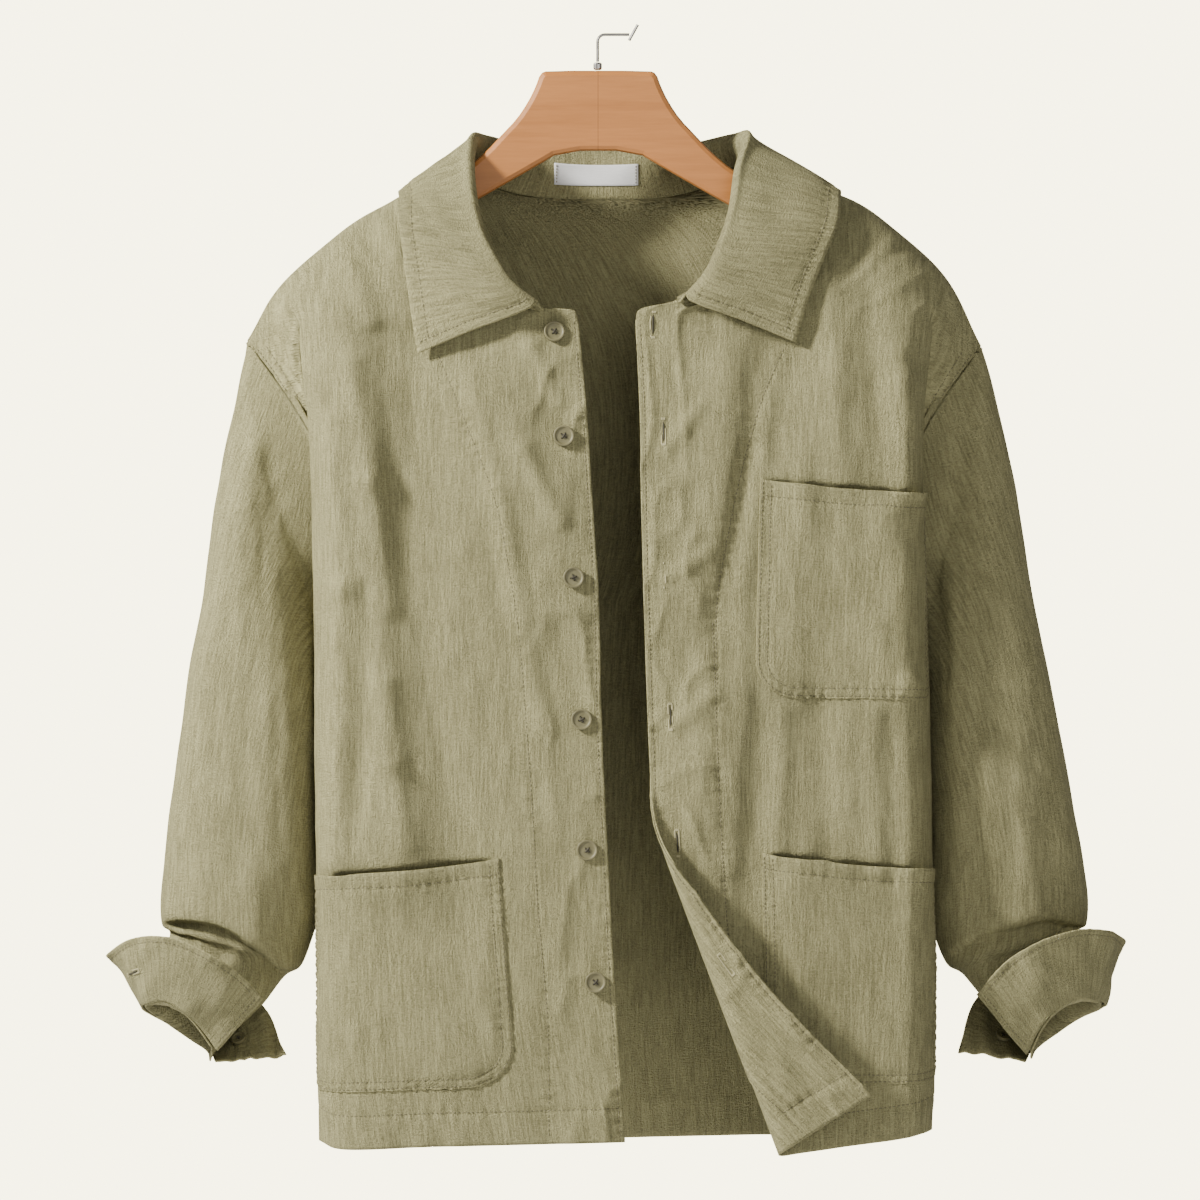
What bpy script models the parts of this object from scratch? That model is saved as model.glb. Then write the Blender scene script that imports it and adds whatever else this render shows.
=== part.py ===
"""Linen shirt jacket hanging open on a wooden hanger.

The garment faces -Y, +X is to the viewer's right and +Z is up. The origin is
the underside of the hanger's hook, where a rail carries it. Lengths in the
tables are millimetres. Pieces are named by the wearer's side, so the wearer's
right front lies at -X.
"""
import math

import bmesh
import bpy
from mathutils import Vector
import numpy as np

MM = 0.001

# Cloth
CLOTH = 1.4            # wall of a body panel or sleeve: linen with its turnings
DOUBLE_CLOTH = 1.8     # wall of the collar and cuffs, which are two plies
POCKET_CLOTH = 1.2
FACING_CLOTH = 1.0
LABEL_CLOTH = 0.6
SEAM_GAP = 0.4         # between sewn pieces
CREST_GAP = 0.6        # half the shoulder seam's gap on the crest
CREST_END_GAP = 1.2    # what its ends add, where front and back walls lean together
ARMHOLE_GAP = 1.0      # between a panel and the sleeve, whose walls lean together there
PATCH_GAP = 1.3        # between a front's face and the pocket sewn on it
NECK_ROW = 0.84        # height fraction of a front at its neck corner
RIDGE_AT = 0.80        # width fraction of a front at its side fold
FLANK_AT = 0.68        # width fraction where the front starts to turn back
THIRDS = (0.33, 0.67)  # shares of the way from a front's edge to its flank
CROWN = 4.0            # how far the front swells there
FOLDS_END = 0.12       # height fraction below the top where the broad folds run out
FOLDS_SIDE = 0.1       # width fraction over which they run out at the side fold

# Buttons
BUTTON_RADIUS = 7.5
BUTTON_HEIGHT = 2.8
CUFF_BUTTON_RADIUS = 5.5
BUTTON_RIM = 1.3
BUTTON_SLOPE = 0.5     # width of the step from its rim to its middle
BUTTON_SINK = 0.7
BUTTON_SIDES = 14
BUTTON_SEAT = SEAM_GAP + 0.4

# Turned out lower corner of the left front
CURL_RADIUS = 9.0
CURL_ANGLE = math.radians(171.0)
CURL_START = (52.0, -603.0)       # x, z where the fold leaves the front edge
CURL_END = (127.0, -803.0)        # x, z where it meets the hem

# Hanger and hook
HANGER_X = -12.0       # its middle
HANGER_THICK = 12.0
HANGER_EDGE = 3.5      # rounding of its long edges
WIRE_RADIUS = 1.1
HOOK_SHANK_X = HANGER_X - 0.5
HOOK_BEND = 5.0        # radius of its one bend
HOOK_RUN_END = 10.5    # x where its level run ends at the stop
HOOK_STOP = [(10.2, 0.0, -3.2), (13.4, 0.0, 2.6), (16.6, 0.0, 8.4)]
BEAD_RADIUS = 3.2
BEAD_HEIGHT = 5.6
BEAD_EDGE = 1.4

# Side guides of the fronts: height fraction, then x, y, z of the front edge,
# the flank, the side fold and the side seam. Rows run from hem to neck corner.
RIGHT_FRONT = [
    # height  edge             flank               fold                seam
    (0.00, (7, -68, -798), (-200, -60, -803), (-213, -40, -798), (-208, 6, -798)),
    (0.14, (1, -69, -711), (-202, -61, -711), (-214, -40, -711), (-209, 6, -712)),
    (0.29, (-5, -69, -603), (-202, -60, -604), (-215, -39, -604), (-210, 6, -606)),
    (0.43, (-10, -68, -495), (-203, -58, -496), (-216, -38, -496), (-210, 6, -498)),
    (0.55, (-12, -66, -408), (-204, -56, -410), (-217, -37, -412), None),
    (0.66, (-17, -61, -329), (-206, -53, -332), (-219, -36, -333), None),
    (0.76, (-21, -55, -268), (-209, -49, -267), (-221, -34, -267), None),
    (0.84, (-27, -46, -205), (-214, -41, -217), (-226, -30, -210), None),
]
LEFT_FRONT = [
    (0.00, (30, -66, -821), (215, -60, -794), (228, -40, -790), (223, 6, -791)),
    (0.14, (36, -69, -714), (215, -61, -707), (229, -40, -703), (224, 6, -705)),
    (0.29, (29, -69, -603), (215, -60, -601), (228, -39, -601), (223, 6, -603)),
    (0.43, (24, -68, -495), (214, -58, -493), (227, -38, -493), (221, 6, -495)),
    (0.55, (21, -66, -408), (212, -56, -408), (225, -37, -410), None),
    (0.66, (19, -61, -329), (210, -53, -329), (223, -36, -329), None),
    (0.76, (18, -55, -268), (210, -49, -266), (223, -34, -266), None),
    (0.84, (15, -46, -207), (216, -41, -214), (228, -30, -208), None),
]
# Shoulder seam: x, z at the neck, the collar's edge, the flank, the hanger's
# end and the tip.
CREST_AT = (0.0, 0.36, FLANK_AT, RIDGE_AT, 1.0)
CREST = {-1: [(-112, -91), (-161, -120), (-205, -147), (-238, -176), (-266, -220)],
         1: [(94, -83), (150, -111), (198, -136), (234, -168), (265, -224)]}
# Neckline of each front from its corner to the shoulder seam: x, y, z.
NECKLINE = {
    -1: [(-27, -46, -205), (-31, -47, -199), (-53, -47, -198), (-71, -48, -193), (-85, -46, -180),
         (-98, -43, -162), (-107, -35, -142), (-111, -24, -122), (-112, -12, -105), (-112, 0, -91)],
    1: [(15, -46, -207), (19, -47, -198), (44, -47, -192), (60, -47, -181), (71, -44, -165),
        (81, -37, -146), (88, -29, -127), (92, -20, -110), (94, -10, -95), (94, 0, -83)],
}
BACK_NECK = [(-112, 0, -91), (-103, 17, -101), (-79, 34, -112), (-47, 43, -117), (-9, 46, -118),
             (29, 43, -117), (61, 34, -111), (85, 17, -98), (94, 0, -83)]
FRONT_DEPTH = 66.0     # how far the fronts hang before the hanger
BACK_DEPTH = 60.0      # how far the back hangs behind it
BACK_FOLD_IN = 9.0     # its side folds lie this much nearer the middle
# Middle of the back: share of the way between its side flanks, how far it bulges,
# share of the neckline that it runs up to and its width fraction.
BACK_MIDDLE = [(0.27, 2.0, 0.0, 0.32), (0.38, 3.2, 0.25, 0.41), (0.50, 4.0, 0.5, 0.50),
               (0.62, 3.2, 0.75, 0.59), (0.73, 2.0, 1.0, 0.68)]
BACK_SEAM_END = 0.03   # width fraction over which the back steps clear of the side seam

# Armhole: shoulder tip and underarm (x, y, z), how far the seam bows towards
# the body, and how far its front and back halves stand from that line.
ARMHOLE = {-1: dict(tip=(-266, 0, -220), underarm=(-207, 6, -423), bow=31.0, front=23.0, back=18.0),
           1: dict(tip=(265, 0, -224), underarm=(217, 6, -421), bow=33.0, front=23.0, back=18.0)}

# Sleeve sections: outer x, z, inner x, z, how far front and back stand out.
SLEEVE = {
    -1: [(-271, -241, -211.5, -431, 25, 20), (-275, -266, -213, -440, 28, 25),
         (-281, -293, -213.5, -451, 31, 32), (-287, -323, -213.5, -465, 35, 40),
         (-294, -365, -213.5, -484, 40, 50), (-300, -408, -213.5, -506, 44, 59),
         (-307, -451, -213.5, -532, 47, 62), (-313, -495, -213, -560, 49, 63),
         (-319, -538, -213, -588, 49, 62), (-325, -581, -213, -612, 47, 58),
         (-328.5, -617, -213.5, -634, 44, 52), (-328, -642, -226, -670, 39, 44),
         (-322, -650, -239, -680, 31, 36), (-330, -674, -258, -703, 26, 29),
         (-334, -700, -292, -729, 24, 19)],
    1: [(271, -245, 221.5, -429, 25, 20), (276, -267, 223.5, -439, 28, 25),
        (282, -293, 225, -450, 31, 32), (288, -322, 225.5, -464, 35, 40),
        (297, -365, 225.5, -484, 40, 50), (305, -408, 225.5, -506, 44, 59),
        (313, -451, 225.5, -532, 47, 62), (322, -495, 226, -560, 49, 63),
        (330, -538, 226, -588, 49, 62), (338, -581, 226, -612, 47, 58),
        (343, -617, 226.5, -634, 44, 52), (342, -642, 238, -670, 39, 44),
        (336, -649, 252, -680, 31, 36), (343, -673, 271, -702, 26, 29),
        (346, -697, 304, -728, 24, 19)],
}
SLEEVE_CENTRE_Y = 6.0
SLEEVE_ROUND = 0.85    # power of the sine that rounds a sleeve's section
UNDERARM_REACH = 0.35  # share of a sleeve below the armhole that is flatter inside
UNDERARM_FLAT = 0.6
BOW_REACH = 0.10       # share of a sleeve that keeps the armhole's bow
WRIST_INSET = 0.8      # how far a sleeve's end lies in and up from its cuff's fold

# Turned back cuff, from its front end round to its back end: x, y, z of the
# flared edge and of the fold at the wrist.
CUFF = {
    -1: [((-254, -40, -695), (-287, -33, -733)), ((-271, -52, -678), (-299, -39, -717)),
         ((-295, -58, -662), (-311, -42, -705)), ((-324, -56, -651), (-326, -40, -698)),
         ((-351, -42, -654), (-338, -30, -700)), ((-366, -14, -664), (-343, -8, -701)),
         ((-355, 24, -660), (-341, 14, -705)), ((-324, 50, -664), (-328, 30, -714)),
         ((-288, 52, -678), (-308, 32, -727)), ((-256, 32, -702), (-293, 22, -736)),
         ((-238, 2, -739), (-289, -4, -743))],
    1: [((261, -40, -693), (297, -33, -736)), ((279, -52, -672), (307, -39, -716)),
        ((306, -58, -654), (320, -43, -702)), ((335, -54, -646), (336, -40, -695)),
        ((358, -38, -647), (349, -28, -698)), ((368, -10, -654), (355, -8, -700)),
        ((358, 24, -657), (352, 14, -705)), ((328, 50, -662), (337, 30, -712)),
        ((292, 50, -674), (318, 32, -724)), ((261, 28, -700), (303, 22, -734)),
        ((249, -2, -735), (297, -6, -741))],
}

# Collar, front end to centre back: share along the neckline it is sewn to, then
# x, y, z of its roll and of its edge. The sixth row is at the shoulder seam, and
# the last two are on the back's neckline.
COLLAR = {
    -1: [(0.23, (-57, -56, -192), (-142, -52, -230)),
         (0.36, (-74, -58, -179), (-148, -51, -192)),
         (0.50, (-88, -54, -159), (-153, -46, -156)),
         (0.64, (-99, -45, -134), (-156, -38, -132)),
         (0.82, (-106, -25, -98), (-156, -20, -117)),
         (1.00, (-104, 0, -72), (-156, 2, -111)),
         (0.12, (-92, 26, -71), (-138, 40, -118)),
         (0.30, (-58, 46, -78), (-84, 60, -138))],
    1: [(0.23, (50, -56, -187), (130, -52, -222)),
        (0.36, (67, -58, -169), (139, -51, -192)),
        (0.50, (78, -54, -146), (152, -46, -158)),
        (0.64, (86, -44, -121), (161, -38, -136)),
        (0.82, (91, -24, -92), (163, -20, -118)),
        (1.00, (97, 0, -70), (161, 2, -110)),
        (0.88, (85, 26, -70), (136, 40, -112)),
        (0.70, (43, 46, -78), (66, 60, -136))],
}
COLLAR_CENTRE = (0.5, (-9, 53, -81), (-9, 67, -141))
SHOULDER_STATION = 5
COLLAR_AXIS = (-9.0, -8.0)   # x, y of the neck opening's middle
COLLAR_ROLL = 5.0      # radius of the collar's roll line
COLLAR_LIFT = SEAM_GAP + 0.5        # how far its seam stands up from the neckline
COLLAR_IN = DOUBLE_CLOTH + 0.2      # how far it stands inside it
FALL_SWELL = 2.0       # how far the fall swells between roll and edge
# Shares of the way across the collar: seam, before, on and after the roll, the
# middle of the fall and the edge.
COLLAR_AT = (0.0, 0.28, 0.40, 0.52, 0.76, 1.0)

# Broad folds of the fronts: x, z at both ends, half width and height.
FOLDS = [
    (-198, -212, -150, -603, 24, 5.0),
    (-150, -230, -110, -640, 30, -4.5),
    (-68, -216, -20, -262, 16, 3.5),
    (-84, -262, -30, -410, 20, 3.5),
    (190, -215, 205, -470, 20, 4.0),
    (122, -226, 76, -440, 24, -4.5),
    (84, -230, 62, -560, 18, 3.5),
    (120, -500, 84, -700, 26, -3.5),
]
FOLD_END = 4.0         # how sharply a fold runs out past its two ends

# Grid of the panels: shares across and up where their points lie.
EDGE_COLUMNS = np.linspace(0.0, 0.27, 11)
PLAIN_EDGE_COLUMNS = np.linspace(0.0, 0.27, 5)
MIDDLE_COLUMNS = np.array([0.34, 0.42, 0.50, 0.57, 0.63])
SIDE_COLUMNS = np.array([0.68, 0.715, 0.745, 0.775, 0.80, 0.83, 0.87, 0.93, 1.0])
CURL_ROWS = np.array([0.0, 0.035, 0.07, 0.105, 0.14, 0.175, 0.21, 0.25, 0.29, 0.34, 0.40, 0.46])
PLAIN_ROWS = np.array([0.0, 0.08, 0.16, 0.24, 0.31, 0.38, 0.46])
UNDERARM_ROW = 0.55
ARMHOLE_ROWS = np.array([UNDERARM_ROW, 0.575, 0.61, 0.67, 0.73, 0.79, NECK_ROW])
FACING_ROWS = 11       # rows of the front that the facing backs
FACING_COLUMNS = 9
BACK_RIDGE_AT = 0.064  # width fraction of the back at its side fold
BACK_FLANK_AT = 0.102  # width fraction where it is flat again
BACK_SIDE = np.array([0.0, 0.02, 0.04, BACK_RIDGE_AT, 0.083, BACK_FLANK_AT])
NECK_AT = 0.32         # width fraction of the back where its shoulder seams end

# Pockets: the four corners x, z on the front (inner foot, outer foot, inner
# mouth, outer mouth) and the width carried on round the side fold.
POCKETS = {
    "pocket_chest": dict(side=1, inner_foot=(101, -478), outer_foot=(220, -480), inner_mouth=(105, -321),
                         outer_mouth=(220, -330), wrap=0.07, corner=27.0),
    "pocket_lower_right": dict(side=-1, inner_foot=(-70, -758), outer_foot=(-208, -762),
                               inner_mouth=(-83, -594), outer_mouth=(-208, -606), wrap=0.09, corner=34.0),
    "pocket_lower_left": dict(side=1, inner_foot=(105, -757), outer_foot=(222, -756),
                              inner_mouth=(106, -590), outer_mouth=(222, -602), wrap=0.09, corner=34.0),
}
POCKET_COLUMNS = np.array([0.0, 0.12, 0.26, 0.40, 0.54, 0.66, 0.76, 0.82, 0.87, 0.91, 0.95, 1.0])
POCKET_SIDE_CORNER = 12.0
POCKET_TURNS = (0, 30, 52, 72)  # degrees of the corner where rows of points lie
POCKET_ROWS = 7        # rows above the corners
POCKET_OPEN_FROM = 0.72  # share of its height above which a pocket stands open
POCKET_MOUTH_GAP = 2.6  # how far its mouth stands off the front
SIDE_SPAN = 190.0      # millimetres round the side fold for a whole width fraction

BUTTONS = [(-44, -215), (-37, -290), (-30, -392), (-24, -494), (-20, -588), (-14, -683)]
# Cuff buttons sit inside the flare, on the cuff's far end: station, share down.
CUFF_BUTTON_AT = (9.4, 0.55)
LABEL_X = (-44.0, 17.0)
LABEL_SHARE = (0.08, 0.205)  # shares of the collar's way from seam to edge

# Hanger: x from its middle and z, round the outline of its right half.
HANGER_OUTLINE = [(37, -25), (42, -27), (45.5, -37), (51, -48), (59, -60), (69.5, -71), (81, -83.5),
                  (97, -97), (150, -128), (193, -151.5), (205, -159), (210, -168), (204, -177),
                  (192, -177), (150, -153), (92, -121), (50, -97), (26, -83)]

COLOURS = {
    "linen": (0.330, 0.300, 0.190, 1.0),
    "button": (0.360, 0.330, 0.220, 1.0),
    "label": (0.800, 0.800, 0.790, 1.0),
    "wood": (0.580, 0.300, 0.150, 1.0),
    "steel": (0.450, 0.440, 0.420, 1.0),
}


# ---------------------------------------------------------------- materials
def material(name, colour, roughness, metallic=0.0):
    """A Principled material of one colour."""
    made = bpy.data.materials.new(name)
    made.use_nodes = True
    shader = made.node_tree.nodes["Principled BSDF"]
    shader.inputs["Base Color"].default_value = COLOURS[colour]
    shader.inputs["Roughness"].default_value = roughness
    shader.inputs["Metallic"].default_value = metallic
    made.diffuse_color = COLOURS[colour]
    return made


# ----------------------------------------------------------- shape functions
def spline(keys, values, at):
    """Smooth curve through values at uneven keys."""
    keys = np.asarray(keys, float)
    values = np.asarray(values, float)
    slopes = np.gradient(values, keys, axis=0)
    i = int(np.clip(np.searchsorted(keys, at) - 1, 0, len(keys) - 2))
    span = keys[i + 1] - keys[i]
    u = (at - keys[i]) / span
    return ((1 + 2 * u) * (1 - u) ** 2 * values[i] + u * (1 - u) ** 2 * span * slopes[i]
            + u * u * (3 - 2 * u) * values[i + 1] + u * u * (u - 1) * span * slopes[i + 1])


def along(points, share):
    """Point at a share of the way along a list of evenly keyed points."""
    return spline(np.linspace(0.0, 1.0, len(points)), points, share)


def unit(vector):
    return vector / np.linalg.norm(vector)


def armhole_point(side, share, half):
    """Armhole seam at a share from shoulder tip to underarm; half is 'front' or 'back'."""
    hole = ARMHOLE[side]
    tip = np.array(hole["tip"], float)
    underarm = np.array(hole["underarm"], float)
    arch = math.sin(math.pi * share)
    point = tip + (underarm - tip) * share
    point[0] -= side * hole["bow"] * arch
    point[1] += (-hole["front"] if half == "front" else hole["back"]) * arch ** 0.8
    return point


def seam_point(side, table, height, half):
    """Outer boundary of a panel: side seam below the underarm, armhole above it."""
    underarm_row = table[4][0]
    if height >= underarm_row:
        share = (1.0 - height) / (1.0 - underarm_row)
        return armhole_point(side, share, half)
    rows = table[:4]
    keys = [row[0] for row in rows] + [underarm_row]
    seams = [row[4] for row in rows] + [ARMHOLE[side]["underarm"]]
    return spline(keys, seams, height)


def guide(side, table, column, height, half):
    """Flank or fold guide, carried over the shoulder on a quarter round."""
    sign = -1.0 if half == "front" else 1.0
    keys = [row[0] for row in table]
    points = [row[column] for row in table]
    if height <= NECK_ROW:
        point = spline(keys, points, height)
        return point if half == "front" else behind(point, side)
    turn = (height - NECK_ROW) / (1.0 - NECK_ROW) * math.pi / 2
    base = np.array(points[-1], float)
    if half == "back":
        base = behind(base, side)
    crest_x, crest_z = CREST[side][column]
    top = np.array([crest_x, sign * CREST_GAP, crest_z], float)
    across = math.sin(turn)
    point = base + (top - base) * across
    point[1] = top[1] + (base[1] - top[1]) * math.cos(turn)
    return point


def crest_point(side, share):
    """Shoulder seam at a share from neck to tip."""
    x, z = spline(CREST_AT, CREST[side], share)
    return np.array([x, 0.0, z])


def crest_gap(share):
    """Half gap of the shoulder seam, wider towards both its ends."""
    return CREST_GAP + CREST_END_GAP * abs(share - 0.4) / 0.6


def behind(point, side):
    """Place on the back that answers to one on the front."""
    return np.array([point[0] - side * BACK_FOLD_IN, -point[1] * BACK_DEPTH / FRONT_DEPTH, point[2]])


def fold_height(x, z):
    """How far the broad folds raise the front at a place."""
    total = 0.0
    for x0, z0, x1, z1, half, height in FOLDS:
        line = np.array([x1 - x0, z1 - z0], float)
        away = np.array([x - x0, z - z0], float)
        share = float(np.dot(away, line) / np.dot(line, line))
        nearest = np.array([x0, z0]) + line * min(max(share, 0.0), 1.0)
        distance = math.hypot(x - nearest[0], z - nearest[1])
        ends = math.exp(-(max(share - 1.0, -share, 0.0) * FOLD_END) ** 2)
        total += height * ends * math.exp(-(distance / half) ** 2)
    return total


def front_row(side, across, height):
    """Point of a front before its top is drawn to the shoulder seam."""
    table = RIGHT_FRONT if side < 0 else LEFT_FRONT
    if height <= NECK_ROW:
        edge = spline([row[0] for row in table], [row[1] for row in table], height)
    else:
        edge = along(NECKLINE[side], (height - NECK_ROW) / (1.0 - NECK_ROW))
    flank = guide(side, table, 2, height, "front")
    ridge = guide(side, table, 3, height, "front")
    seam = seam_point(side, table, height, "front")
    crown = np.array([0.0, -CROWN, 0.0]) * min(1.0, (1.0 - height) / (1.0 - NECK_ROW))
    first = edge + (flank - edge) * THIRDS[0] + crown * 0.8
    second = edge + (flank - edge) * THIRDS[1] + crown
    keys = [0.0, FLANK_AT * THIRDS[0], FLANK_AT * THIRDS[1], FLANK_AT, RIDGE_AT, 1.0]
    return spline(keys, [edge, first, second, flank, ridge, seam], across)


def front_point(side, across, height):
    """Point of a front's outer face; across runs from front edge to side seam."""
    point = front_row(side, across, height)
    if height > NECK_ROW:
        climb = ((height - NECK_ROW) / (1.0 - NECK_ROW)) ** 2
        point += (crest_point(side, across) - front_row(side, across, 1.0)) * climb
        point[1] = min(point[1], 0.0) - crest_gap(across) * climb
    fade = min(1.0, (1.0 - height) / FOLDS_END) * min(1.0, max(0.0, (RIDGE_AT - across) / FOLDS_SIDE))
    point[1] -= fold_height(point[0], point[2]) * fade
    return curl(point) if side > 0 else point


def curl(point):
    """Turn the left front's lower corner out about its fold line."""
    start = np.array(CURL_START)
    line = unit(np.array(CURL_END) - start)
    outward = np.array([line[1], -line[0]])
    flat = np.array([point[0], point[2]])
    beyond = float(np.dot(flat - start, outward))
    if beyond <= 0.0:
        return point
    angle = min(beyond / CURL_RADIUS, CURL_ANGLE)
    rest = beyond - angle * CURL_RADIUS
    shift = CURL_RADIUS * math.sin(angle) + rest * math.cos(angle) - beyond
    lift = CURL_RADIUS * (1.0 - math.cos(angle)) + rest * math.sin(angle)
    flat = flat + outward * shift
    return np.array([flat[0], point[1] - lift, flat[1]])


def back_row(across, height):
    """Point of the back before its top is drawn to the shoulder and neck seams."""
    ends = {}
    for side, table in ((-1, RIGHT_FRONT), (1, LEFT_FRONT)):
        seam = seam_point(side, table, height, "back")
        ridge = guide(side, table, 3, height, "back")
        flank = guide(side, table, 2, height, "back")
        ends[side] = (seam, ridge, flank)
    middle = []
    low_height = min(height, NECK_ROW)
    first = guide(-1, RIGHT_FRONT, 2, low_height, "back")
    last = guide(1, LEFT_FRONT, 2, low_height, "back")
    turn = max(0.0, height - NECK_ROW) / (1.0 - NECK_ROW) * math.pi / 2
    for share, bulge, neck, _ in BACK_MIDDLE:
        low = first + (last - first) * share
        low[1] += bulge
        top = along(BACK_NECK, neck)
        point = low + (top - low) * math.sin(turn)
        point[1] = top[1] + (low[1] - top[1]) * math.cos(turn)
        middle.append(point)
    keys = [0.0, BACK_RIDGE_AT, BACK_FLANK_AT, *(row[3] for row in BACK_MIDDLE), 1.0 - BACK_FLANK_AT,
            1.0 - BACK_RIDGE_AT, 1.0]
    return spline(keys, [*ends[-1], *middle, *reversed(ends[1])], across)


def back_top(across):
    """Top edge of the back: right shoulder seam, neck seam, left shoulder seam."""
    if across < NECK_AT:
        return crest_point(-1, 1.0 - across / NECK_AT)
    if across > 1.0 - NECK_AT:
        return crest_point(1, 1.0 - (1.0 - across) / NECK_AT)
    return along(BACK_NECK, (across - NECK_AT) / (1.0 - 2 * NECK_AT))


def back_point(across, height):
    """Point of the back's outer face, from the right side seam to the left one."""
    point = back_row(across, height)
    near_seam = max(0.0, 1.0 - min(across, 1.0 - across) / BACK_SEAM_END)
    point[1] += SEAM_GAP * near_seam
    if height > NECK_ROW:
        climb = ((height - NECK_ROW) / (1.0 - NECK_ROW)) ** 2
        point += (back_top(across) - back_row(across, 1.0)) * climb
        point[1] = max(point[1], 0.0) + crest_gap(1.0 - min(across, 1.0 - across) / NECK_AT) * climb
    return point


def sleeve_row(side, around, down):
    """Point of a sleeve's outer face before its seam gap is opened."""
    hole = ARMHOLE[side]
    rows = SLEEVE[side]
    angle = 2 * math.pi * around
    share = (1.0 - math.cos(angle)) / 2
    half = "front" if around <= 0.5 else "back"
    if down <= 0.0:
        return armhole_point(side, share, half)
    tip, underarm = hole["tip"], hole["underarm"]
    first = (tip[0], tip[2], underarm[0], underarm[2], hole["front"], hole["back"])
    row = spline(np.linspace(0.0, 1.0, len(rows) + 1), [first, *rows], down)
    outer = np.array([row[0], SLEEVE_CENTRE_Y, row[1]])
    inner = np.array([row[2], SLEEVE_CENTRE_Y, row[3]])
    point = outer + (inner - outer) * share
    near_armhole = max(0.0, 1.0 - down / UNDERARM_REACH)
    arch = abs(math.sin(angle)) ** SLEEVE_ROUND * (1.0 - UNDERARM_FLAT * near_armhole * share ** 3)
    point[1] += -row[4] * arch if half == "front" else row[5] * arch
    point[0] -= side * hole["bow"] * max(0.0, 1.0 - down / BOW_REACH) ** 2 * math.sin(math.pi * share)
    last_row = 1.0 - 1.0 / len(rows)
    if down > last_row:
        flare = (down - last_row) / (1.0 - last_row)
        point = point + (wrist_point(side, around) - point) * flare ** 2
    return point


def wrist_point(side, around):
    """End of a sleeve, just inside the fold of its turned back cuff."""
    folds = [row[1] for row in CUFF[side]]
    last = len(folds) - 1
    stations = [(0.5 - around) * last] if around < 0.5 else [(1.5 - around) * last]
    if around == 0.5:
        stations = [0, last]
    point = np.mean([spline(range(last + 1), folds, at) for at in stations], axis=0)
    inward = np.mean(folds, axis=0) - point
    inward[2] = 0.0
    return point + unit(inward) * (DOUBLE_CLOTH + SEAM_GAP + WRIST_INSET) + (0.0, 0.0, WRIST_INSET)


def sleeve_point(side, around, down):
    """Point of a sleeve's outer face; around starts at the outer fold, front first."""
    if down > 0.0:
        return sleeve_row(side, around, down)
    point = sleeve_row(side, around, 0.0)
    return point + unit(sleeve_row(side, around, 0.04) - point) * ARMHOLE_GAP


def strip_point(table, at, share):
    """Point between the two edge curves of a strip; at counts its stations."""
    keys = range(len(table))
    first = spline(keys, [row[0] for row in table], at)
    second = spline(keys, [row[1] for row in table], at)
    return first + (second - first) * share


def collar_rows():
    """Collar table from the right front end round to the left one."""
    return [*COLLAR[-1], COLLAR_CENTRE, *COLLAR[1][::-1]]


def neck_share(station):
    """Neckline of a collar station: side (0 for the back's) and share along it."""
    shares = [row[0] for row in collar_rows()]
    last = len(shares) - 1
    if station < SHOULDER_STATION:
        return -1, spline(range(SHOULDER_STATION + 1), shares[:SHOULDER_STATION + 1], station)
    if station > last - SHOULDER_STATION:
        return 1, spline(range(SHOULDER_STATION + 1), shares[:-SHOULDER_STATION - 2:-1], last - station)
    on_back = [0.0, *shares[SHOULDER_STATION + 1:last - SHOULDER_STATION], 1.0]
    return 0, spline(range(SHOULDER_STATION, last - SHOULDER_STATION + 1), on_back, station)


def collar_point(station, share):
    """Point of the collar from its seam (0) over the roll (0.4) to its edge (1)."""
    rows = collar_rows()
    last = len(rows) - 1
    roll = spline(range(last + 1), [row[1] for row in rows], station)
    edge = spline(range(last + 1), [row[2] for row in rows], station)
    side, neck_at = neck_share(station)
    seam = along(NECKLINE[side] if side else BACK_NECK, neck_at)
    rising = unit(roll - seam)
    inward = unit(np.array([COLLAR_AXIS[0] - seam[0], COLLAR_AXIS[1] - seam[1], 0.0])) + (0.0, 0.0, 1.0)
    inward = unit(inward - rising * np.dot(inward, rising))
    seam = seam + rising * COLLAR_LIFT + inward * COLLAR_IN
    out = unit(np.array([roll[0] - COLLAR_AXIS[0], roll[1] - COLLAR_AXIS[1], 0.0]))
    down = np.array([0.0, 0.0, -COLLAR_ROLL])
    inner = roll - out * COLLAR_ROLL + down
    outer = roll + out * COLLAR_ROLL + down
    middle = (outer + edge) / 2 + out * FALL_SWELL
    return spline(COLLAR_AT, [seam, inner, roll, outer, middle, edge], share)


# ------------------------------------------------------------ mesh functions
def keep(obj, surface):
    """Name the object's material and put it in the jacket's collection."""
    obj.data.materials.clear()
    obj.data.materials.append(surface)
    return obj


def object_from(name, mesh, surface, collection):
    obj = bpy.data.objects.new(name, mesh)
    collection.objects.link(obj)
    return keep(obj, surface)


def sheet(name, grid, wall, surface, collection, ring=False):
    """Cloth wall: a grid of outer points made solid inwards."""
    rows = len(grid)
    columns = len(grid[0])
    mesh_builder = bmesh.new()
    verts = [[mesh_builder.verts.new(Vector(point) * MM) for point in row] for row in grid]
    last = columns if ring else columns - 1
    for i in range(rows - 1):
        for j in range(last):
            k = (j + 1) % columns
            mesh_builder.faces.new((verts[i][j], verts[i][k], verts[i + 1][k], verts[i + 1][j]))
    mesh = bpy.data.meshes.new(name)
    mesh_builder.to_mesh(mesh)
    mesh_builder.free()
    mesh.shade_smooth()
    obj = object_from(name, mesh, surface, collection)
    solid = obj.modifiers.new("Cloth wall", "SOLIDIFY")
    solid.thickness = wall * MM
    solid.offset = -1.0
    solid.use_even_offset = True
    solid.use_quality_normals = True
    return obj


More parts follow.
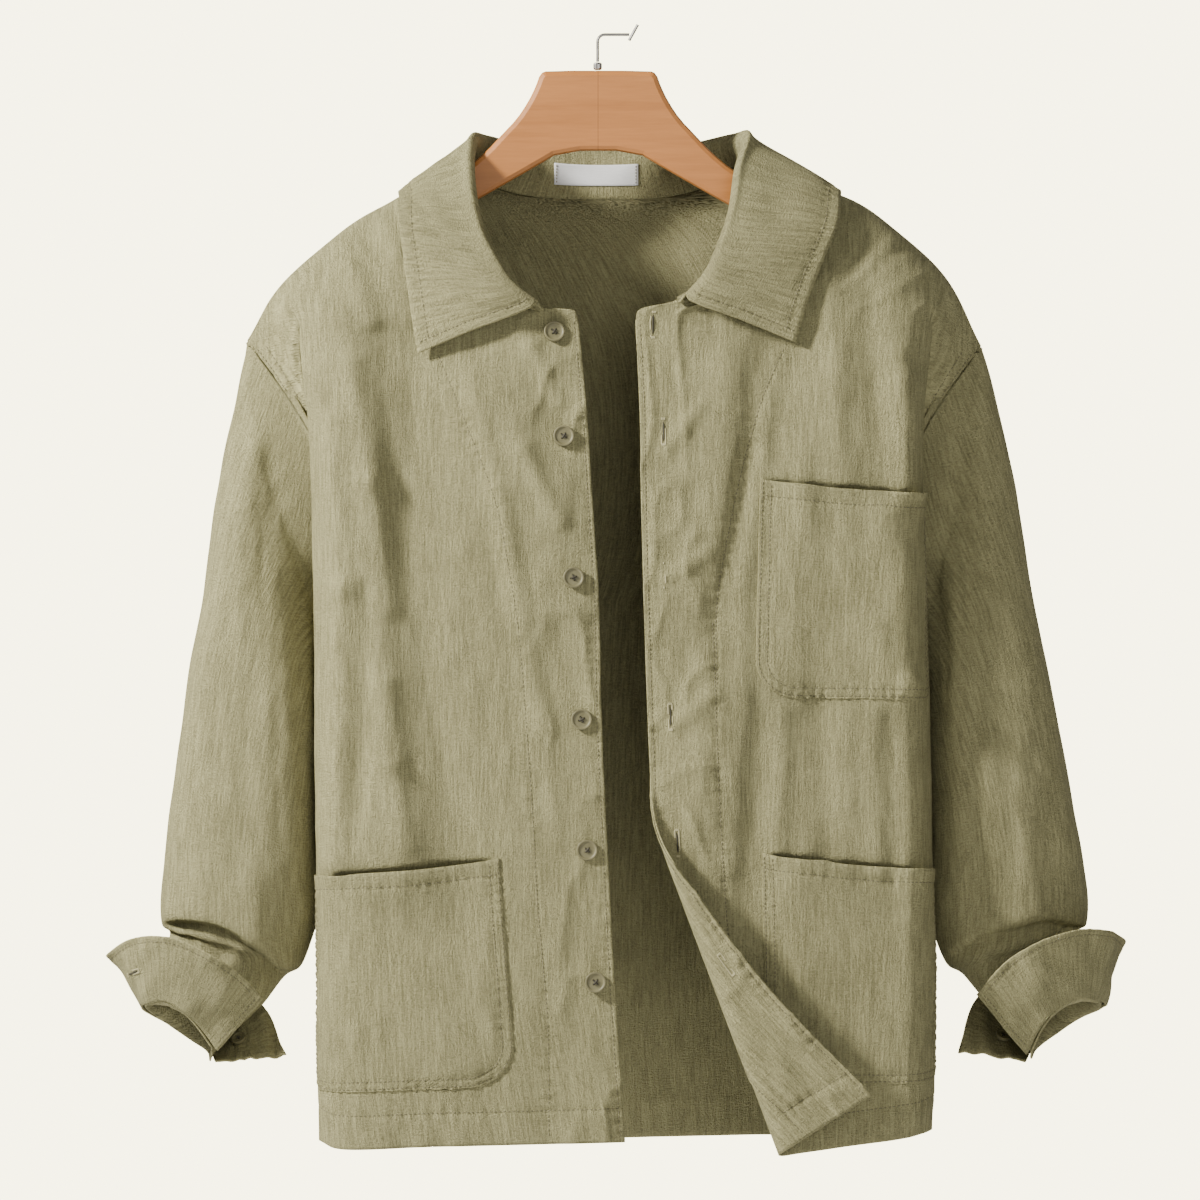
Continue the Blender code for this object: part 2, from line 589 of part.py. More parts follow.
def offset_grid(grid, distance):
    """Grid moved out along its own normals by one distance, or by one for each row."""
    points = np.array(grid, float)
    normals = np.cross(np.gradient(points, axis=1), np.gradient(points, axis=0))
    normals /= np.linalg.norm(normals, axis=2, keepdims=True)
    amount = np.broadcast_to(np.asarray(distance, float), (len(grid),))
    return points + normals * amount[:, None, None]


# ---------------------------------------------------------------- the pieces
def panel_rows(low_rows):
    """Heights of a panel's rows: those above the neck corner meet the collar's stations."""
    necks = [row[0] for row in COLLAR[-1][:SHOULDER_STATION + 1]]
    near_neck = [0.1, *necks]
    return np.concatenate([low_rows, ARMHOLE_ROWS, NECK_ROW + (1.0 - NECK_ROW) * np.array(near_neck)])


def front_grid(side):
    """Points of one front, its columns running to +X so that its face looks to -Y."""
    edge_columns = EDGE_COLUMNS if side > 0 else PLAIN_EDGE_COLUMNS
    across = np.concatenate([edge_columns, MIDDLE_COLUMNS, SIDE_COLUMNS])
    order = across if side > 0 else across[::-1]
    heights = panel_rows(CURL_ROWS if side > 0 else PLAIN_ROWS)
    return [[front_point(side, share, height) for share in order] for height in heights]


def front(side, linen, collection):
    """One front, from hem to shoulder seam and from its edge to the side seam."""
    name = "front_left" if side > 0 else "front_right"
    return sheet(name, front_grid(side), CLOTH, linen, collection)


def facing(linen, collection):
    """Left front's facing, on the inside of the panel along its edge."""
    grid = [row[:FACING_COLUMNS] for row in front_grid(1)[:FACING_ROWS]]
    inner = offset_grid(grid, -(CLOTH + PATCH_GAP + FACING_CLOTH))
    return sheet("facing_left", inner[:, ::-1], FACING_CLOTH, linen, collection)


def back(linen, collection):
    """The back, one plain panel, whose middle columns meet the collar's stations."""
    stations = np.arange(SHOULDER_STATION, 2 * len(COLLAR[-1]) - SHOULDER_STATION + 0.1, 0.5)
    neck = [NECK_AT + (1.0 - 2 * NECK_AT) * neck_share(station)[1] for station in stations]
    outer = [0.16, 0.215, 0.27]
    across = np.concatenate([BACK_SIDE, outer, neck, 1.0 - np.array(outer)[::-1], 1.0 - BACK_SIDE[::-1]])
    heights = panel_rows(PLAIN_ROWS)
    grid = [[back_point(share, height) for share in across[::-1]] for height in heights]
    return sheet("back", grid, CLOTH, linen, collection)


def sleeve(side, linen, collection):
    """One sleeve, a tube from the armhole to the wrist."""
    neck_rows = panel_rows([])[:len(ARMHOLE_ROWS) - 1:-1]
    heights = np.concatenate([neck_rows[::2], ARMHOLE_ROWS[:-1][::-1]])
    shares = (1.0 - heights) / (1.0 - UNDERARM_ROW)
    front_half = np.arccos(1.0 - 2.0 * shares) / (2 * math.pi)
    around = np.concatenate([front_half, 1.0 - front_half[-2:0:-1]])
    down = np.concatenate([np.linspace(0.0, 0.66, 9)[:-1], np.linspace(0.66, 1.0, 9)])
    order = around if side > 0 else around[::-1]
    grid = [[sleeve_point(side, turn, share) for turn in order] for share in down]
    name = "sleeve_left" if side > 0 else "sleeve_right"
    return sheet(name, grid, CLOTH, linen, collection, ring=True)


def cuff(side, linen, collection):
    """One cuff, turned back and flared, open between its two ends."""
    stations = np.linspace(0.0, len(CUFF[side]) - 1, 25)
    order = stations if side > 0 else stations[::-1]
    grid = [[strip_point(CUFF[side], at, share) for at in order] for share in (1.0, 0.66, 0.33, 0.0)]
    name = "cuff_left" if side > 0 else "cuff_right"
    return sheet(name, grid, DOUBLE_CLOTH, linen, collection)


def collar(linen, collection):
    """The collar: stand, roll and fall in one folded wall."""
    last = 2 * len(COLLAR[-1])
    stations = np.concatenate([np.arange(SHOULDER_STATION),
                               np.arange(SHOULDER_STATION, last - SHOULDER_STATION, 0.5),
                               np.arange(last - SHOULDER_STATION, last + 1)])
    shares = (0.0, 0.16, 0.28, 0.34, 0.40, 0.46, 0.52, 0.68, 0.84, 1.0)
    grid = [[collar_point(at, share) for share in shares] for at in stations[::-1]]
    return sheet("collar", grid, DOUBLE_CLOTH, linen, collection)


def find_on_front(side, x, z):
    """Across and height of the front's point that shows at x, z."""
    place = np.array([0.35, 0.45])
    step = 1e-3
    for _ in range(12):
        here = front_flat(side, *place)
        slope_s = (front_flat(side, place[0] + step, place[1]) - here) / step
        slope_t = (front_flat(side, place[0], place[1] + step) - here) / step
        jacobian = np.column_stack([slope_s, slope_t])
        place = place + np.linalg.solve(jacobian, np.array([x, z]) - here)
        place = np.clip(place, (0.001, 0.001), (FLANK_AT + 0.06, 0.97))
    return place


def front_flat(side, across, height):
    point = front_point(side, across, height)
    return np.array([point[0], point[2]])


def corner_inset(radius, rise):
    """How far a round corner draws in the side of a pocket at a rise above its foot."""
    below = max(0.0, radius - rise)
    return radius - math.sqrt(radius ** 2 - below ** 2)


def pocket(name, size, linen, collection):
    """Patch pocket with round lower corners, its mouth a little open."""
    side = size["side"]
    corners = {}
    for corner in ("inner_foot", "outer_foot", "inner_mouth", "outer_mouth"):
        corners[corner] = find_on_front(side, *size[corner])
    wrap = np.array([size["wrap"], 0.0])
    width = abs(size["outer_foot"][0] - size["inner_foot"][0]) + SIDE_SPAN * size["wrap"]
    depth = size["inner_mouth"][1] - size["inner_foot"][1]
    radius = size["corner"]
    rises = [radius * (1 - math.cos(math.radians(angle))) for angle in POCKET_TURNS]
    rises += list(np.linspace(radius, depth, POCKET_ROWS))
    grid = []
    for rise in rises:
        near_inset = corner_inset(radius, rise)
        far_inset = corner_inset(POCKET_SIDE_CORNER, rise)
        up = rise / depth
        row = []
        for share in POCKET_COLUMNS:
            part = (near_inset + (width - near_inset - far_inset) * share) / width
            foot = corners["inner_foot"] + (corners["outer_foot"] + wrap - corners["inner_foot"]) * part
            mouth = corners["inner_mouth"] + (corners["outer_mouth"] + wrap - corners["inner_mouth"]) * part
            place = foot + (mouth - foot) * up
            row.append(front_point(side, *place))
        grid.append(row if side > 0 else row[::-1])
    opened = [max(0.0, (rise / depth - POCKET_OPEN_FROM) / (1 - POCKET_OPEN_FROM)) for rise in rises]
    gaps = [POCKET_CLOTH + PATCH_GAP + POCKET_MOUTH_GAP * share ** 2 for share in opened]
    return sheet(name, offset_grid(grid, gaps), POCKET_CLOTH, linen, collection)


def collar_station(x, share):
    """Station of the back collar where it crosses the given x."""
    low, high = 6.0, 10.0
    for _ in range(30):
        middle = (low + high) / 2
        if collar_point(middle, share)[0] < x:
            low = middle
        else:
            high = middle
    return (low + high) / 2


def label(paper, collection):
    """Bare woven label inside the back of the collar."""
    grid = []
    for share in np.linspace(*LABEL_SHARE, 4):
        grid.append([collar_point(collar_station(x, share), share) for x in np.linspace(*LABEL_X, 9)])
    lifted = offset_grid(grid, PATCH_GAP + LABEL_CLOTH)
    return sheet("label", lifted, LABEL_CLOTH, paper, collection)


def button(name, centre, normal, radius, surface, collection):
    """Turned button: a disc with a raised rim round a sunken middle."""
    made = bmesh.new()
    bmesh.ops.create_cone(made, cap_ends=True, segments=BUTTON_SIDES, radius1=radius * MM,
                          radius2=radius * MM, depth=BUTTON_HEIGHT * MM)
    top = max((face for face in made.faces), key=lambda face: face.calc_center_median().z)
    bmesh.ops.inset_individual(made, faces=[top], thickness=BUTTON_RIM * MM)
    bmesh.ops.inset_individual(made, faces=[top], thickness=BUTTON_SLOPE * MM, depth=-BUTTON_SINK * MM)
    mesh = bpy.data.meshes.new(name)
    made.to_mesh(mesh)
    made.free()
    obj = object_from(name, mesh, surface, collection)
    direction = Vector(normal).normalized()
    obj.rotation_mode = "QUATERNION"
    obj.rotation_quaternion = direction.to_track_quat("Z", "Y")
    obj.location = (Vector(centre) + direction * (BUTTON_HEIGHT / 2 + BUTTON_SEAT)) * MM
    return obj


def front_normal(side, across, height):
    step = 0.01
    along_s = front_point(side, across + step, height) - front_point(side, across - step, height)
    along_t = front_point(side, across, height + step) - front_point(side, across, height - step)
    normal = unit(np.cross(along_s, along_t))
    return normal if normal[1] < 0 else -normal


def buttons(surface, collection):
    for number, (x, z) in enumerate(BUTTONS, start=1):
        across, height = find_on_front(-1, x, z)
        centre = front_point(-1, across, height)
        normal = front_normal(-1, across, height)
        button(f"button_{number}", centre, normal, BUTTON_RADIUS, surface, collection)


def cuff_button(side, surface, collection):
    """Button inside the flare of a cuff, on the end that shows behind."""
    at, share = CUFF_BUTTON_AT
    centre = strip_point(CUFF[side], at, share)
    along_at = strip_point(CUFF[side], at + 0.1, share) - strip_point(CUFF[side], at - 0.1, share)
    along_share = strip_point(CUFF[side], at, share + 0.1) - strip_point(CUFF[side], at, share - 0.1)
    inward = unit(np.cross(along_at, along_share))
    if inward[1] > 0:
        inward = -inward
    centre = centre + inward * (DOUBLE_CLOTH + SEAM_GAP)
    name = "cuff_button_left" if side > 0 else "cuff_button_right"
    return button(name, centre, inward, CUFF_BUTTON_RADIUS, surface, collection)


def corners_cut(points):
    """Closed outline with every corner cut at a quarter of its sides."""
    cut = []
    for here, following in zip(points, points[1:] + points[:1]):
        for share in (0.25, 0.75):
            cut.append((here[0] + (following[0] - here[0]) * share, here[1] + (following[1] - here[1]) * share))
    return cut


def hanger(wood, collection):
    """Flat shaped wooden hanger, in one outline with rounded edges."""
    mirrored = [(-x, z) for x, z in HANGER_OUTLINE[::-1]]
    places = corners_cut(HANGER_OUTLINE + mirrored)
    board = bmesh.new()
    depth = HANGER_THICK / 2
    front_ring = [board.verts.new(Vector((HANGER_X + x, -depth, z)) * MM) for x, z in places]
    back_ring = [board.verts.new(Vector((HANGER_X + x, depth, z)) * MM) for x, z in places]
    board.faces.new(front_ring)
    board.faces.new(back_ring[::-1])
    for i in range(len(places)):
        k = (i + 1) % len(places)
        board.faces.new((front_ring[k], front_ring[i], back_ring[i], back_ring[k]))
    bmesh.ops.recalc_face_normals(board, faces=board.faces)
    mesh = bpy.data.meshes.new("hanger")
    board.to_mesh(mesh)
    board.free()
    obj = object_from("hanger", mesh, wood, collection)
    rounded = obj.modifiers.new("Round edges", "BEVEL")
    rounded.width = HANGER_EDGE * MM
    rounded.segments = 2
    rounded.limit_method = "ANGLE"
    rounded.angle_limit = math.radians(60)
    rounded.use_clamp_overlap = False
    return obj


def wire(name, points, radius, steel, collection):
    """Round wire through points."""
    curve = bpy.data.curves.new(name, "CURVE")
    curve.dimensions = "3D"
    curve.bevel_depth = radius * MM
    curve.bevel_resolution = 2
    curve.use_fill_caps = True
    path = curve.splines.new("POLY")
    path.points.add(len(points) - 1)
    for point, place in zip(path.points, points):
        point.co = (place[0] * MM, place[1] * MM, place[2] * MM, 1.0)
    obj = bpy.data.objects.new(name, curve)
    collection.objects.link(obj)
    return keep(obj, steel)


def hook(steel, collection):
    """Square bent hook, its bead and the slanted stop at its end."""
    run_z = WIRE_RADIUS
    bead_top = HANGER_OUTLINE[0][1] + SEAM_GAP + BEAD_HEIGHT
    path = [(HOOK_SHANK_X, 0.0, bead_top + SEAM_GAP)]
    for turn in np.radians(range(0, 91, 18)):
        path.append((HOOK_SHANK_X + HOOK_BEND * (1 - math.cos(turn)), 0.0,
                     run_z - HOOK_BEND + HOOK_BEND * math.sin(turn)))
    path.append((HOOK_RUN_END, 0.0, run_z))
    wire("hook", path, WIRE_RADIUS, steel, collection)
    wire("hook_stop", HOOK_STOP, WIRE_RADIUS, steel, collection)
    bead = bmesh.new()
    bmesh.ops.create_cone(bead, cap_ends=True, segments=14, radius1=BEAD_RADIUS * MM, radius2=BEAD_RADIUS * MM,
                          depth=BEAD_HEIGHT * MM)
    mesh = bpy.data.meshes.new("hook_bead")
    bead.to_mesh(mesh)
    bead.free()
    obj = object_from("hook_bead", mesh, steel, collection)
    obj.location = (HOOK_SHANK_X * MM, 0.0, (bead_top - BEAD_HEIGHT / 2) * MM)
    rounded = obj.modifiers.new("Round edges", "BEVEL")
    rounded.width = BEAD_EDGE * MM
    rounded.segments = 2


def build():
    for obj in list(bpy.data.objects):
        bpy.data.objects.remove(obj, do_unlink=True)
    collection = bpy.data.collections.new("shirt_jacket_on_hanger")
    bpy.context.scene.collection.children.link(collection)

    linen = material("linen", "linen", 0.9)
    shell = material("button resin", "button", 0.4)
    paper = material("label", "label", 0.8)
    wood = material("wood", "wood", 0.45)
    steel = material("steel", "steel", 0.3, 1.0)

    for side in (-1, 1):
        front(side, linen, collection)
        sleeve(side, linen, collection)
        cuff(side, linen, collection)
        cuff_button(side, shell, collection)
    back(linen, collection)
    facing(linen, collection)
    collar(linen, collection)
    label(paper, collection)
    for name, size in POCKETS.items():
        pocket(name, size, linen, collection)
    buttons(shell, collection)
    hanger(wood, collection)
    hook(steel, collection)


build()
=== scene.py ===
"""Linen shirt jacket on a wooden hanger: cloth, sewing, buttons and wood.

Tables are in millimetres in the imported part's own frame. The garment faces -Y,
+X is to the viewer's right and +Z is up; meshes are made in metres.
"""

import math

import bpy
from mathutils import Matrix, Vector
import numpy as np


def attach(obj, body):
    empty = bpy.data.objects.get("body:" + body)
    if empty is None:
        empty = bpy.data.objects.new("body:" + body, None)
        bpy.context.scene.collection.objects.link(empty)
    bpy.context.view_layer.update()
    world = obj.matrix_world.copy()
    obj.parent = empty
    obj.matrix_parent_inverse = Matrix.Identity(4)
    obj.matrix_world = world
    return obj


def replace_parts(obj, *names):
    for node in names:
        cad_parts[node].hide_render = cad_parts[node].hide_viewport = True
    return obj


MM = 0.001
BODY = "root"

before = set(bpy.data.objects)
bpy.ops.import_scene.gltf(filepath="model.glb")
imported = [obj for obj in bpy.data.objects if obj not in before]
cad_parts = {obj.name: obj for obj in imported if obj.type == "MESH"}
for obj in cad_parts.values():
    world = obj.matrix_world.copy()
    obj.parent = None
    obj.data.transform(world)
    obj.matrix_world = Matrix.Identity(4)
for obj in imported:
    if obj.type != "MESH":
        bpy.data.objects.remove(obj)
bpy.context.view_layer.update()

# ---- cloth sizes
CLOTH = 1.4
DOUBLE_CLOTH = 1.8
POCKET_CLOTH = 0.9
FACING_CLOTH = 1.0
FACING_GAP = 0.3
SEAM_GAP = 0.4
CREST_GAP = 0.05       # half of what the shoulder seam leaves open
ARMHOLE_GAP = 1.0
NECK_ROW = 0.84        # height share of a front at its neck corner
UNDERARM_ROW = 0.55
RIDGE_AT = 0.80        # width share of a front at its side fold
FLANK_AT = 0.68        # width share where the front starts to turn back
THIRDS = (0.33, 0.67)  # shares of the way from a front's edge to its flank
CROWN = 4.0            # how far the front swells there
CROWN_NEAR = 0.8       # share of the swell that the first of the two places has
FOLDS_END = 0.12       # height share below the top where the broad folds run out
FOLDS_SIDE = 0.1       # width share over which they run out at the side fold
FOLD_END = 4.0         # how sharply a fold runs out past its two ends

CURL_RADIUS = 9.0
CURL_ANGLE = math.radians(171.0)
CURL_START = (52.0, -603.0)
CURL_END = (127.0, -803.0)

# Side guides of the fronts: height share, then x, y, z of the front edge, the
# flank, the side fold and the side seam. Rows run from hem to neck corner.
RIGHT_FRONT = [
    (0.00, (7, -68, -798), (-200, -60, -803), (-213, -40, -798), (-208, 6, -798)),
    (0.14, (1, -69, -711), (-202, -61, -711), (-214, -40, -711), (-209, 6, -712)),
    (0.29, (-5, -69, -603), (-202, -60, -604), (-215, -39, -604), (-210, 6, -606)),
    (0.43, (-10, -68, -495), (-203, -58, -496), (-216, -38, -496), (-210, 6, -498)),
    (0.55, (-12, -66, -408), (-204, -56, -410), (-217, -37, -412), None),
    (0.66, (-17, -61, -329), (-206, -53, -332), (-219, -36, -333), None),
    (0.76, (-21, -55, -268), (-209, -49, -267), (-221, -34, -267), None),
    (0.84, (-27, -46, -205), (-214, -41, -217), (-226, -30, -210), None),
]
LEFT_FRONT = [
    (0.00, (30, -66, -821), (215, -60, -794), (228, -40, -790), (223, 6, -791)),
    (0.14, (36, -69, -714), (215, -61, -707), (229, -40, -703), (224, 6, -705)),
    (0.29, (29, -69, -603), (215, -60, -601), (228, -39, -601), (223, 6, -603)),
    (0.43, (24, -68, -495), (214, -58, -493), (227, -38, -493), (221, 6, -495)),
    (0.55, (21, -66, -408), (212, -56, -408), (225, -37, -410), None),
    (0.66, (19, -61, -329), (210, -53, -329), (223, -36, -329), None),
    (0.76, (18, -55, -268), (210, -49, -266), (223, -34, -266), None),
    (0.84, (15, -46, -207), (216, -41, -214), (228, -30, -208), None),
]
CREST_AT = (0.0, 0.36, FLANK_AT, RIDGE_AT, 1.0)
CREST = {-1: [(-112, -91), (-161, -120), (-205, -147), (-238, -176), (-266, -220)],
         1: [(94, -83), (150, -111), (198, -136), (234, -168), (265, -224)]}
NECKLINE = {
    -1: [(-27, -46, -205), (-31, -47, -199), (-53, -47, -198), (-71, -48, -193), (-85, -46, -180),
         (-98, -43, -162), (-107, -35, -142), (-111, -24, -122), (-112, -12, -105), (-112, 0, -91)],
    1: [(15, -46, -207), (19, -47, -198), (44, -47, -192), (60, -47, -181), (71, -44, -165),
        (81, -37, -146), (88, -29, -127), (92, -20, -110), (94, -10, -95), (94, 0, -83)],
}
BACK_NECK = [(-112, 0, -91), (-103, 17, -101), (-79, 34, -112), (-47, 43, -117), (-9, 46, -118),
             (29, 43, -117), (61, 34, -111), (85, 17, -98), (94, 0, -83)]
FRONT_DEPTH = 66.0     # how far the fronts hang before the hanger
BACK_DEPTH = 60.0      # how far the back hangs behind it
BACK_FOLD_IN = 9.0     # its side folds lie this much nearer the middle
BACK_RIDGE_AT = 0.064  # width share of the back at its side fold
BACK_FLANK_AT = 0.102  # width share where it is flat again
NECK_AT = 0.32         # width share of the back where its shoulder seams end
# Middle of the back: share of the way between its side flanks, how far it bulges,
# share of the neckline that it runs up to and its width share.
BACK_MIDDLE = [(0.27, 2.0, 0.0, 0.32), (0.38, 3.2, 0.25, 0.41), (0.50, 4.0, 0.5, 0.50),
               (0.62, 3.2, 0.75, 0.59), (0.73, 2.0, 1.0, 0.68)]
BACK_SEAM_END = 0.03   # width share over which the back steps clear of the side seam
ARMHOLE = {-1: dict(tip=(-266, 0, -220), underarm=(-207, 6, -423), bow=31.0),
           1: dict(tip=(265, 0, -224), underarm=(217, 6, -421), bow=33.0)}
ARMHOLE_OUT = {"front": -23.0, "back": 18.0}
ARMHOLE_ROUND = 0.8    # power of the sine that rounds it
# Sleeve sections: outer x, z, inner x, z, how far front and back stand out.
SLEEVE = {
    -1: [(-271, -241, -211.5, -431, 25, 20), (-275, -266, -213, -440, 28, 25),
         (-281, -293, -213.5, -451, 31, 32), (-287, -323, -213.5, -465, 35, 40),
         (-294, -365, -213.5, -484, 40, 50), (-300, -408, -213.5, -506, 44, 59),
         (-307, -451, -213.5, -532, 47, 62), (-313, -495, -213, -560, 49, 63),
         (-319, -538, -213, -588, 49, 62), (-325, -581, -213, -612, 47, 58),
         (-328.5, -617, -213.5, -634, 44, 52), (-328, -642, -226, -670, 39, 44),
         (-322, -650, -239, -680, 31, 36), (-330, -674, -258, -703, 26, 29),
         (-334, -700, -292, -729, 24, 19)],
    1: [(271, -245, 221.5, -429, 25, 20), (276, -267, 223.5, -439, 28, 25),
        (282, -293, 225, -450, 31, 32), (288, -322, 225.5, -464, 35, 40),
        (297, -365, 225.5, -484, 40, 50), (305, -408, 225.5, -506, 44, 59),
        (313, -451, 225.5, -532, 47, 62), (322, -495, 226, -560, 49, 63),
        (330, -538, 226, -588, 49, 62), (338, -581, 226, -612, 47, 58),
        (343, -617, 226.5, -634, 44, 52), (342, -642, 238, -670, 39, 44),
        (336, -649, 252, -680, 31, 36), (343, -673, 271, -702, 26, 29),
        (346, -697, 304, -728, 24, 19)],
}
SLEEVE_CENTRE_Y = 6.0
SLEEVE_AXIS = {-1: (-0.135, 0.0, -0.99), 1: (0.165, 0.0, -0.986)}
TUCK_LENGTH = 6.0      # how far a sleeve's seam allowance reaches under the body
TUCK_LEAST = 0.15      # share of it that is left at the tip of the shoulder
TUCK_IN = CLOTH + 0.9  # how far it lies inside the armhole
TUCK_UP = 0.2          # and up from the sleeve's first ring
SLEEVE_ROUND = 0.85    # power of the sine that rounds a sleeve's section
UNDERARM_REACH = 0.35  # share of a sleeve below the armhole that is flatter inside
UNDERARM_FLAT = 0.6
BOW_REACH = 0.10       # share of a sleeve that keeps the armhole's bow
WRIST_INSET = 0.8      # how far a sleeve's end lies in and up from its cuff's fold
CUFF = {
    -1: [((-254, -40, -695), (-287, -33, -733)), ((-271, -52, -678), (-299, -39, -717)),
         ((-295, -58, -662), (-311, -42, -705)), ((-324, -56, -651), (-326, -40, -698)),
         ((-351, -42, -654), (-338, -30, -700)), ((-366, -14, -664), (-343, -8, -701)),
         ((-355, 24, -660), (-341, 14, -705)), ((-324, 50, -664), (-328, 30, -714)),
         ((-288, 52, -678), (-308, 32, -727)), ((-256, 32, -702), (-293, 22, -736)),
         ((-238, 2, -739), (-289, -4, -743))],
    1: [((261, -40, -693), (297, -33, -736)), ((279, -52, -672), (307, -39, -716)),
        ((306, -58, -654), (320, -43, -702)), ((335, -54, -646), (336, -40, -695)),
        ((358, -38, -647), (349, -28, -698)), ((368, -10, -654), (355, -8, -700)),
        ((358, 24, -657), (352, 14, -705)), ((328, 50, -662), (337, 30, -712)),
        ((292, 50, -674), (318, 32, -724)), ((261, 28, -700), (303, 22, -734)),
        ((249, -2, -735), (297, -6, -741))],
}
COLLAR = {
    -1: [(0.23, (-57, -56, -192), (-142, -52, -230)),
         (0.36, (-74, -58, -179), (-148, -51, -192)),
         (0.50, (-88, -54, -159), (-153, -46, -156)),
         (0.64, (-99, -45, -134), (-156, -38, -132)),
         (0.82, (-106, -25, -98), (-156, -20, -117)),
         (1.00, (-104, 0, -72), (-156, 2, -111)),
         (0.12, (-92, 26, -71), (-138, 40, -118)),
         (0.30, (-58, 46, -78), (-84, 60, -138))],
    1: [(0.23, (50, -56, -187), (130, -52, -222)),
        (0.36, (67, -58, -169), (139, -51, -192)),
        (0.50, (78, -54, -146), (152, -46, -158)),
        (0.64, (86, -44, -121), (161, -38, -136)),
        (0.82, (91, -24, -92), (163, -20, -118)),
        (1.00, (97, 0, -70), (161, 2, -110)),
        (0.88, (85, 26, -70), (136, 40, -112)),
        (0.70, (43, 46, -78), (66, 60, -136))],
}
COLLAR_CENTRE = (0.5, (-9, 53, -81), (-9, 67, -141))
SHOULDER_STATION = 5   # stations count from the right end of the collar
LAST_STATION = 2 * len(COLLAR[-1])
COLLAR_AXIS = (-9.0, -8.0)
COLLAR_ROLL = 5.0      # radius of the collar's roll line
COLLAR_LIFT = SEAM_GAP + 0.5        # how far its seam stands up from the neckline
COLLAR_IN = DOUBLE_CLOTH + 0.2      # how far it stands inside it
FALL_SWELL = 2.0       # how far the fall swells between roll and edge
# Shares of the way across the collar: seam, before, on and after the roll, the
# middle of the fall and the edge.
COLLAR_AT = (0.0, 0.28, 0.40, 0.52, 0.76, 1.0)

# Broad folds of the fronts: x, z at both ends, half width and height.
FOLDS = [
    (-198, -212, -150, -603, 24, 5.0),
    (-150, -230, -110, -640, 30, -4.5),
    (-68, -216, -20, -262, 16, 3.5),
    (-84, -262, -30, -410, 20, 3.5),
    (190, -215, 205, -470, 20, 4.0),
    (122, -226, 76, -440, 24, -4.5),
    (84, -230, 62, -560, 18, 3.5),
    (120, -500, 84, -700, 26, -3.5),
]
POCKETS = {
    "pocket_chest": dict(side=1, inner_foot=(101, -478), outer_foot=(220, -480), inner_mouth=(105, -321),
                         outer_mouth=(220, -330), wrap=0.07, corner=27.0, hem=12.0),
    "pocket_lower_right": dict(side=-1, inner_foot=(-70, -758), outer_foot=(-208, -762),
                               inner_mouth=(-83, -594), outer_mouth=(-208, -606), wrap=0.09, corner=34.0,
                               hem=10.0),
    "pocket_lower_left": dict(side=1, inner_foot=(105, -757), outer_foot=(222, -756),
                              inner_mouth=(106, -590), outer_mouth=(222, -602), wrap=0.09, corner=34.0,
                              hem=10.0),
}
POCKET_SIDE_CORNER = 12.0
POCKET_GAP = 0.2       # how far a pocket's sewn edge stands off the front
POCKET_SWELL = 0.6     # how much farther its middle does
POCKET_EASE = 16.0     # over which it swells from its edges
POCKET_MOUTH_GAP = 3.4  # how far a pocket's mouth sags off the front
MOUTH_PLAY = 1.2       # and how much more it gapes in the cloth's shape
MOUTH_FROM = 0.62      # height share from which it gapes
MOUTH_OVER = 0.38      # height share over which it does
MOUTH_SIDES = 30.0     # over which it closes to its sides
SCALLOP = 0.3          # share by which its gap grows and shrinks
SCALLOP_LENGTH = 11.0
SIDE_SPAN = 190.0      # millimetres round the side fold for a whole width share
FRONT_HOLES = [(27, -208), (35, -287), (35, -390), (40, -492), (45, -583)]
FACING_HOLE = (80, -670)
CUFF_HOLES = {-1: (-348, -677), 1: (352, -671)}
FACING_WIDTH = 49.0
FACING_STITCH = {
    -1: [(-128, -230), (-105, -287), (-87, -335), (-77, -383), (-59, -567), (-56, -623), (-52.6, -663),
         (-49, -703), (-47.5, -796)],
    1: [(122, -226), (106, -263), (91, -317), (81, -364), (74, -405), (73.4, -470)],
}
FACING_SHARES = (0.216, 0.40)  # shares of the left front's width and height that its facing covers
LABEL_X = (-44.0, 17.0)
LABEL_SHARE = (0.08, 0.205)
HANGER_JOINT = -12.2   # where the hanger's two halves are glued
HANGER_JOINT_HALF = 0.22

# ---- finer relief
# Finer ridges and troughs, as in FOLDS.
FRONT_CREASES = {
    -1: [(-205, -279, -197, -400, 9, 3.8), (-197, -400, -201, -595, 9, 3.8),
         (-190, -238, -175, -321, 10, 3.2), (-175, -321, -163, -413, 10, 3.2),
         (-165, -468, -161, -527, 9, 2.6), (-161, -527, -151, -586, 9, 2.6),
         (-239, -198, -221, -262, 8, 3.0), (-246, -216, -231, -252, 5, -2.2),
         (-168, -133, -158, -158, 7, 2.3), (-191, -167, -175, -207, 8, 2.3), (-60, -226, -40, -266, 6, 2.3),
         (-66, -300, -40, -352, 7, 2.6), (-104, -250, -62, -420, 11, 2.6), (-84, -330, -52, -500, 9, 2.3),
         (-120, -420, -88, -640, 14, 2.3), (-178, -400, -184, -560, 8, -2.3)],
    1: [(155, -175, 168, -400, 11, 2.9), (209, -250, 211, -470, 9, 3.4), (211, -470, 213, -780, 9, 3.4),
        (184, -190, 192, -330, 10, -2.6), (205, -230, 212, -330, 8, 2.6), (118, -236, 92, -400, 9, 2.6),
        (98, -300, 70, -430, 8, -2.0), (60, -270, 38, -300, 6, 2.3), (66, -375, 38, -392, 6, 2.3),
        (70, -476, 42, -500, 6, 2.2), (120, -490, 116, -590, 9, 2.6), (150, -490, 152, -590, 10, -2.0),
        (186, -490, 190, -600, 9, 2.6), (92, -420, 84, -600, 9, 2.0)],
}
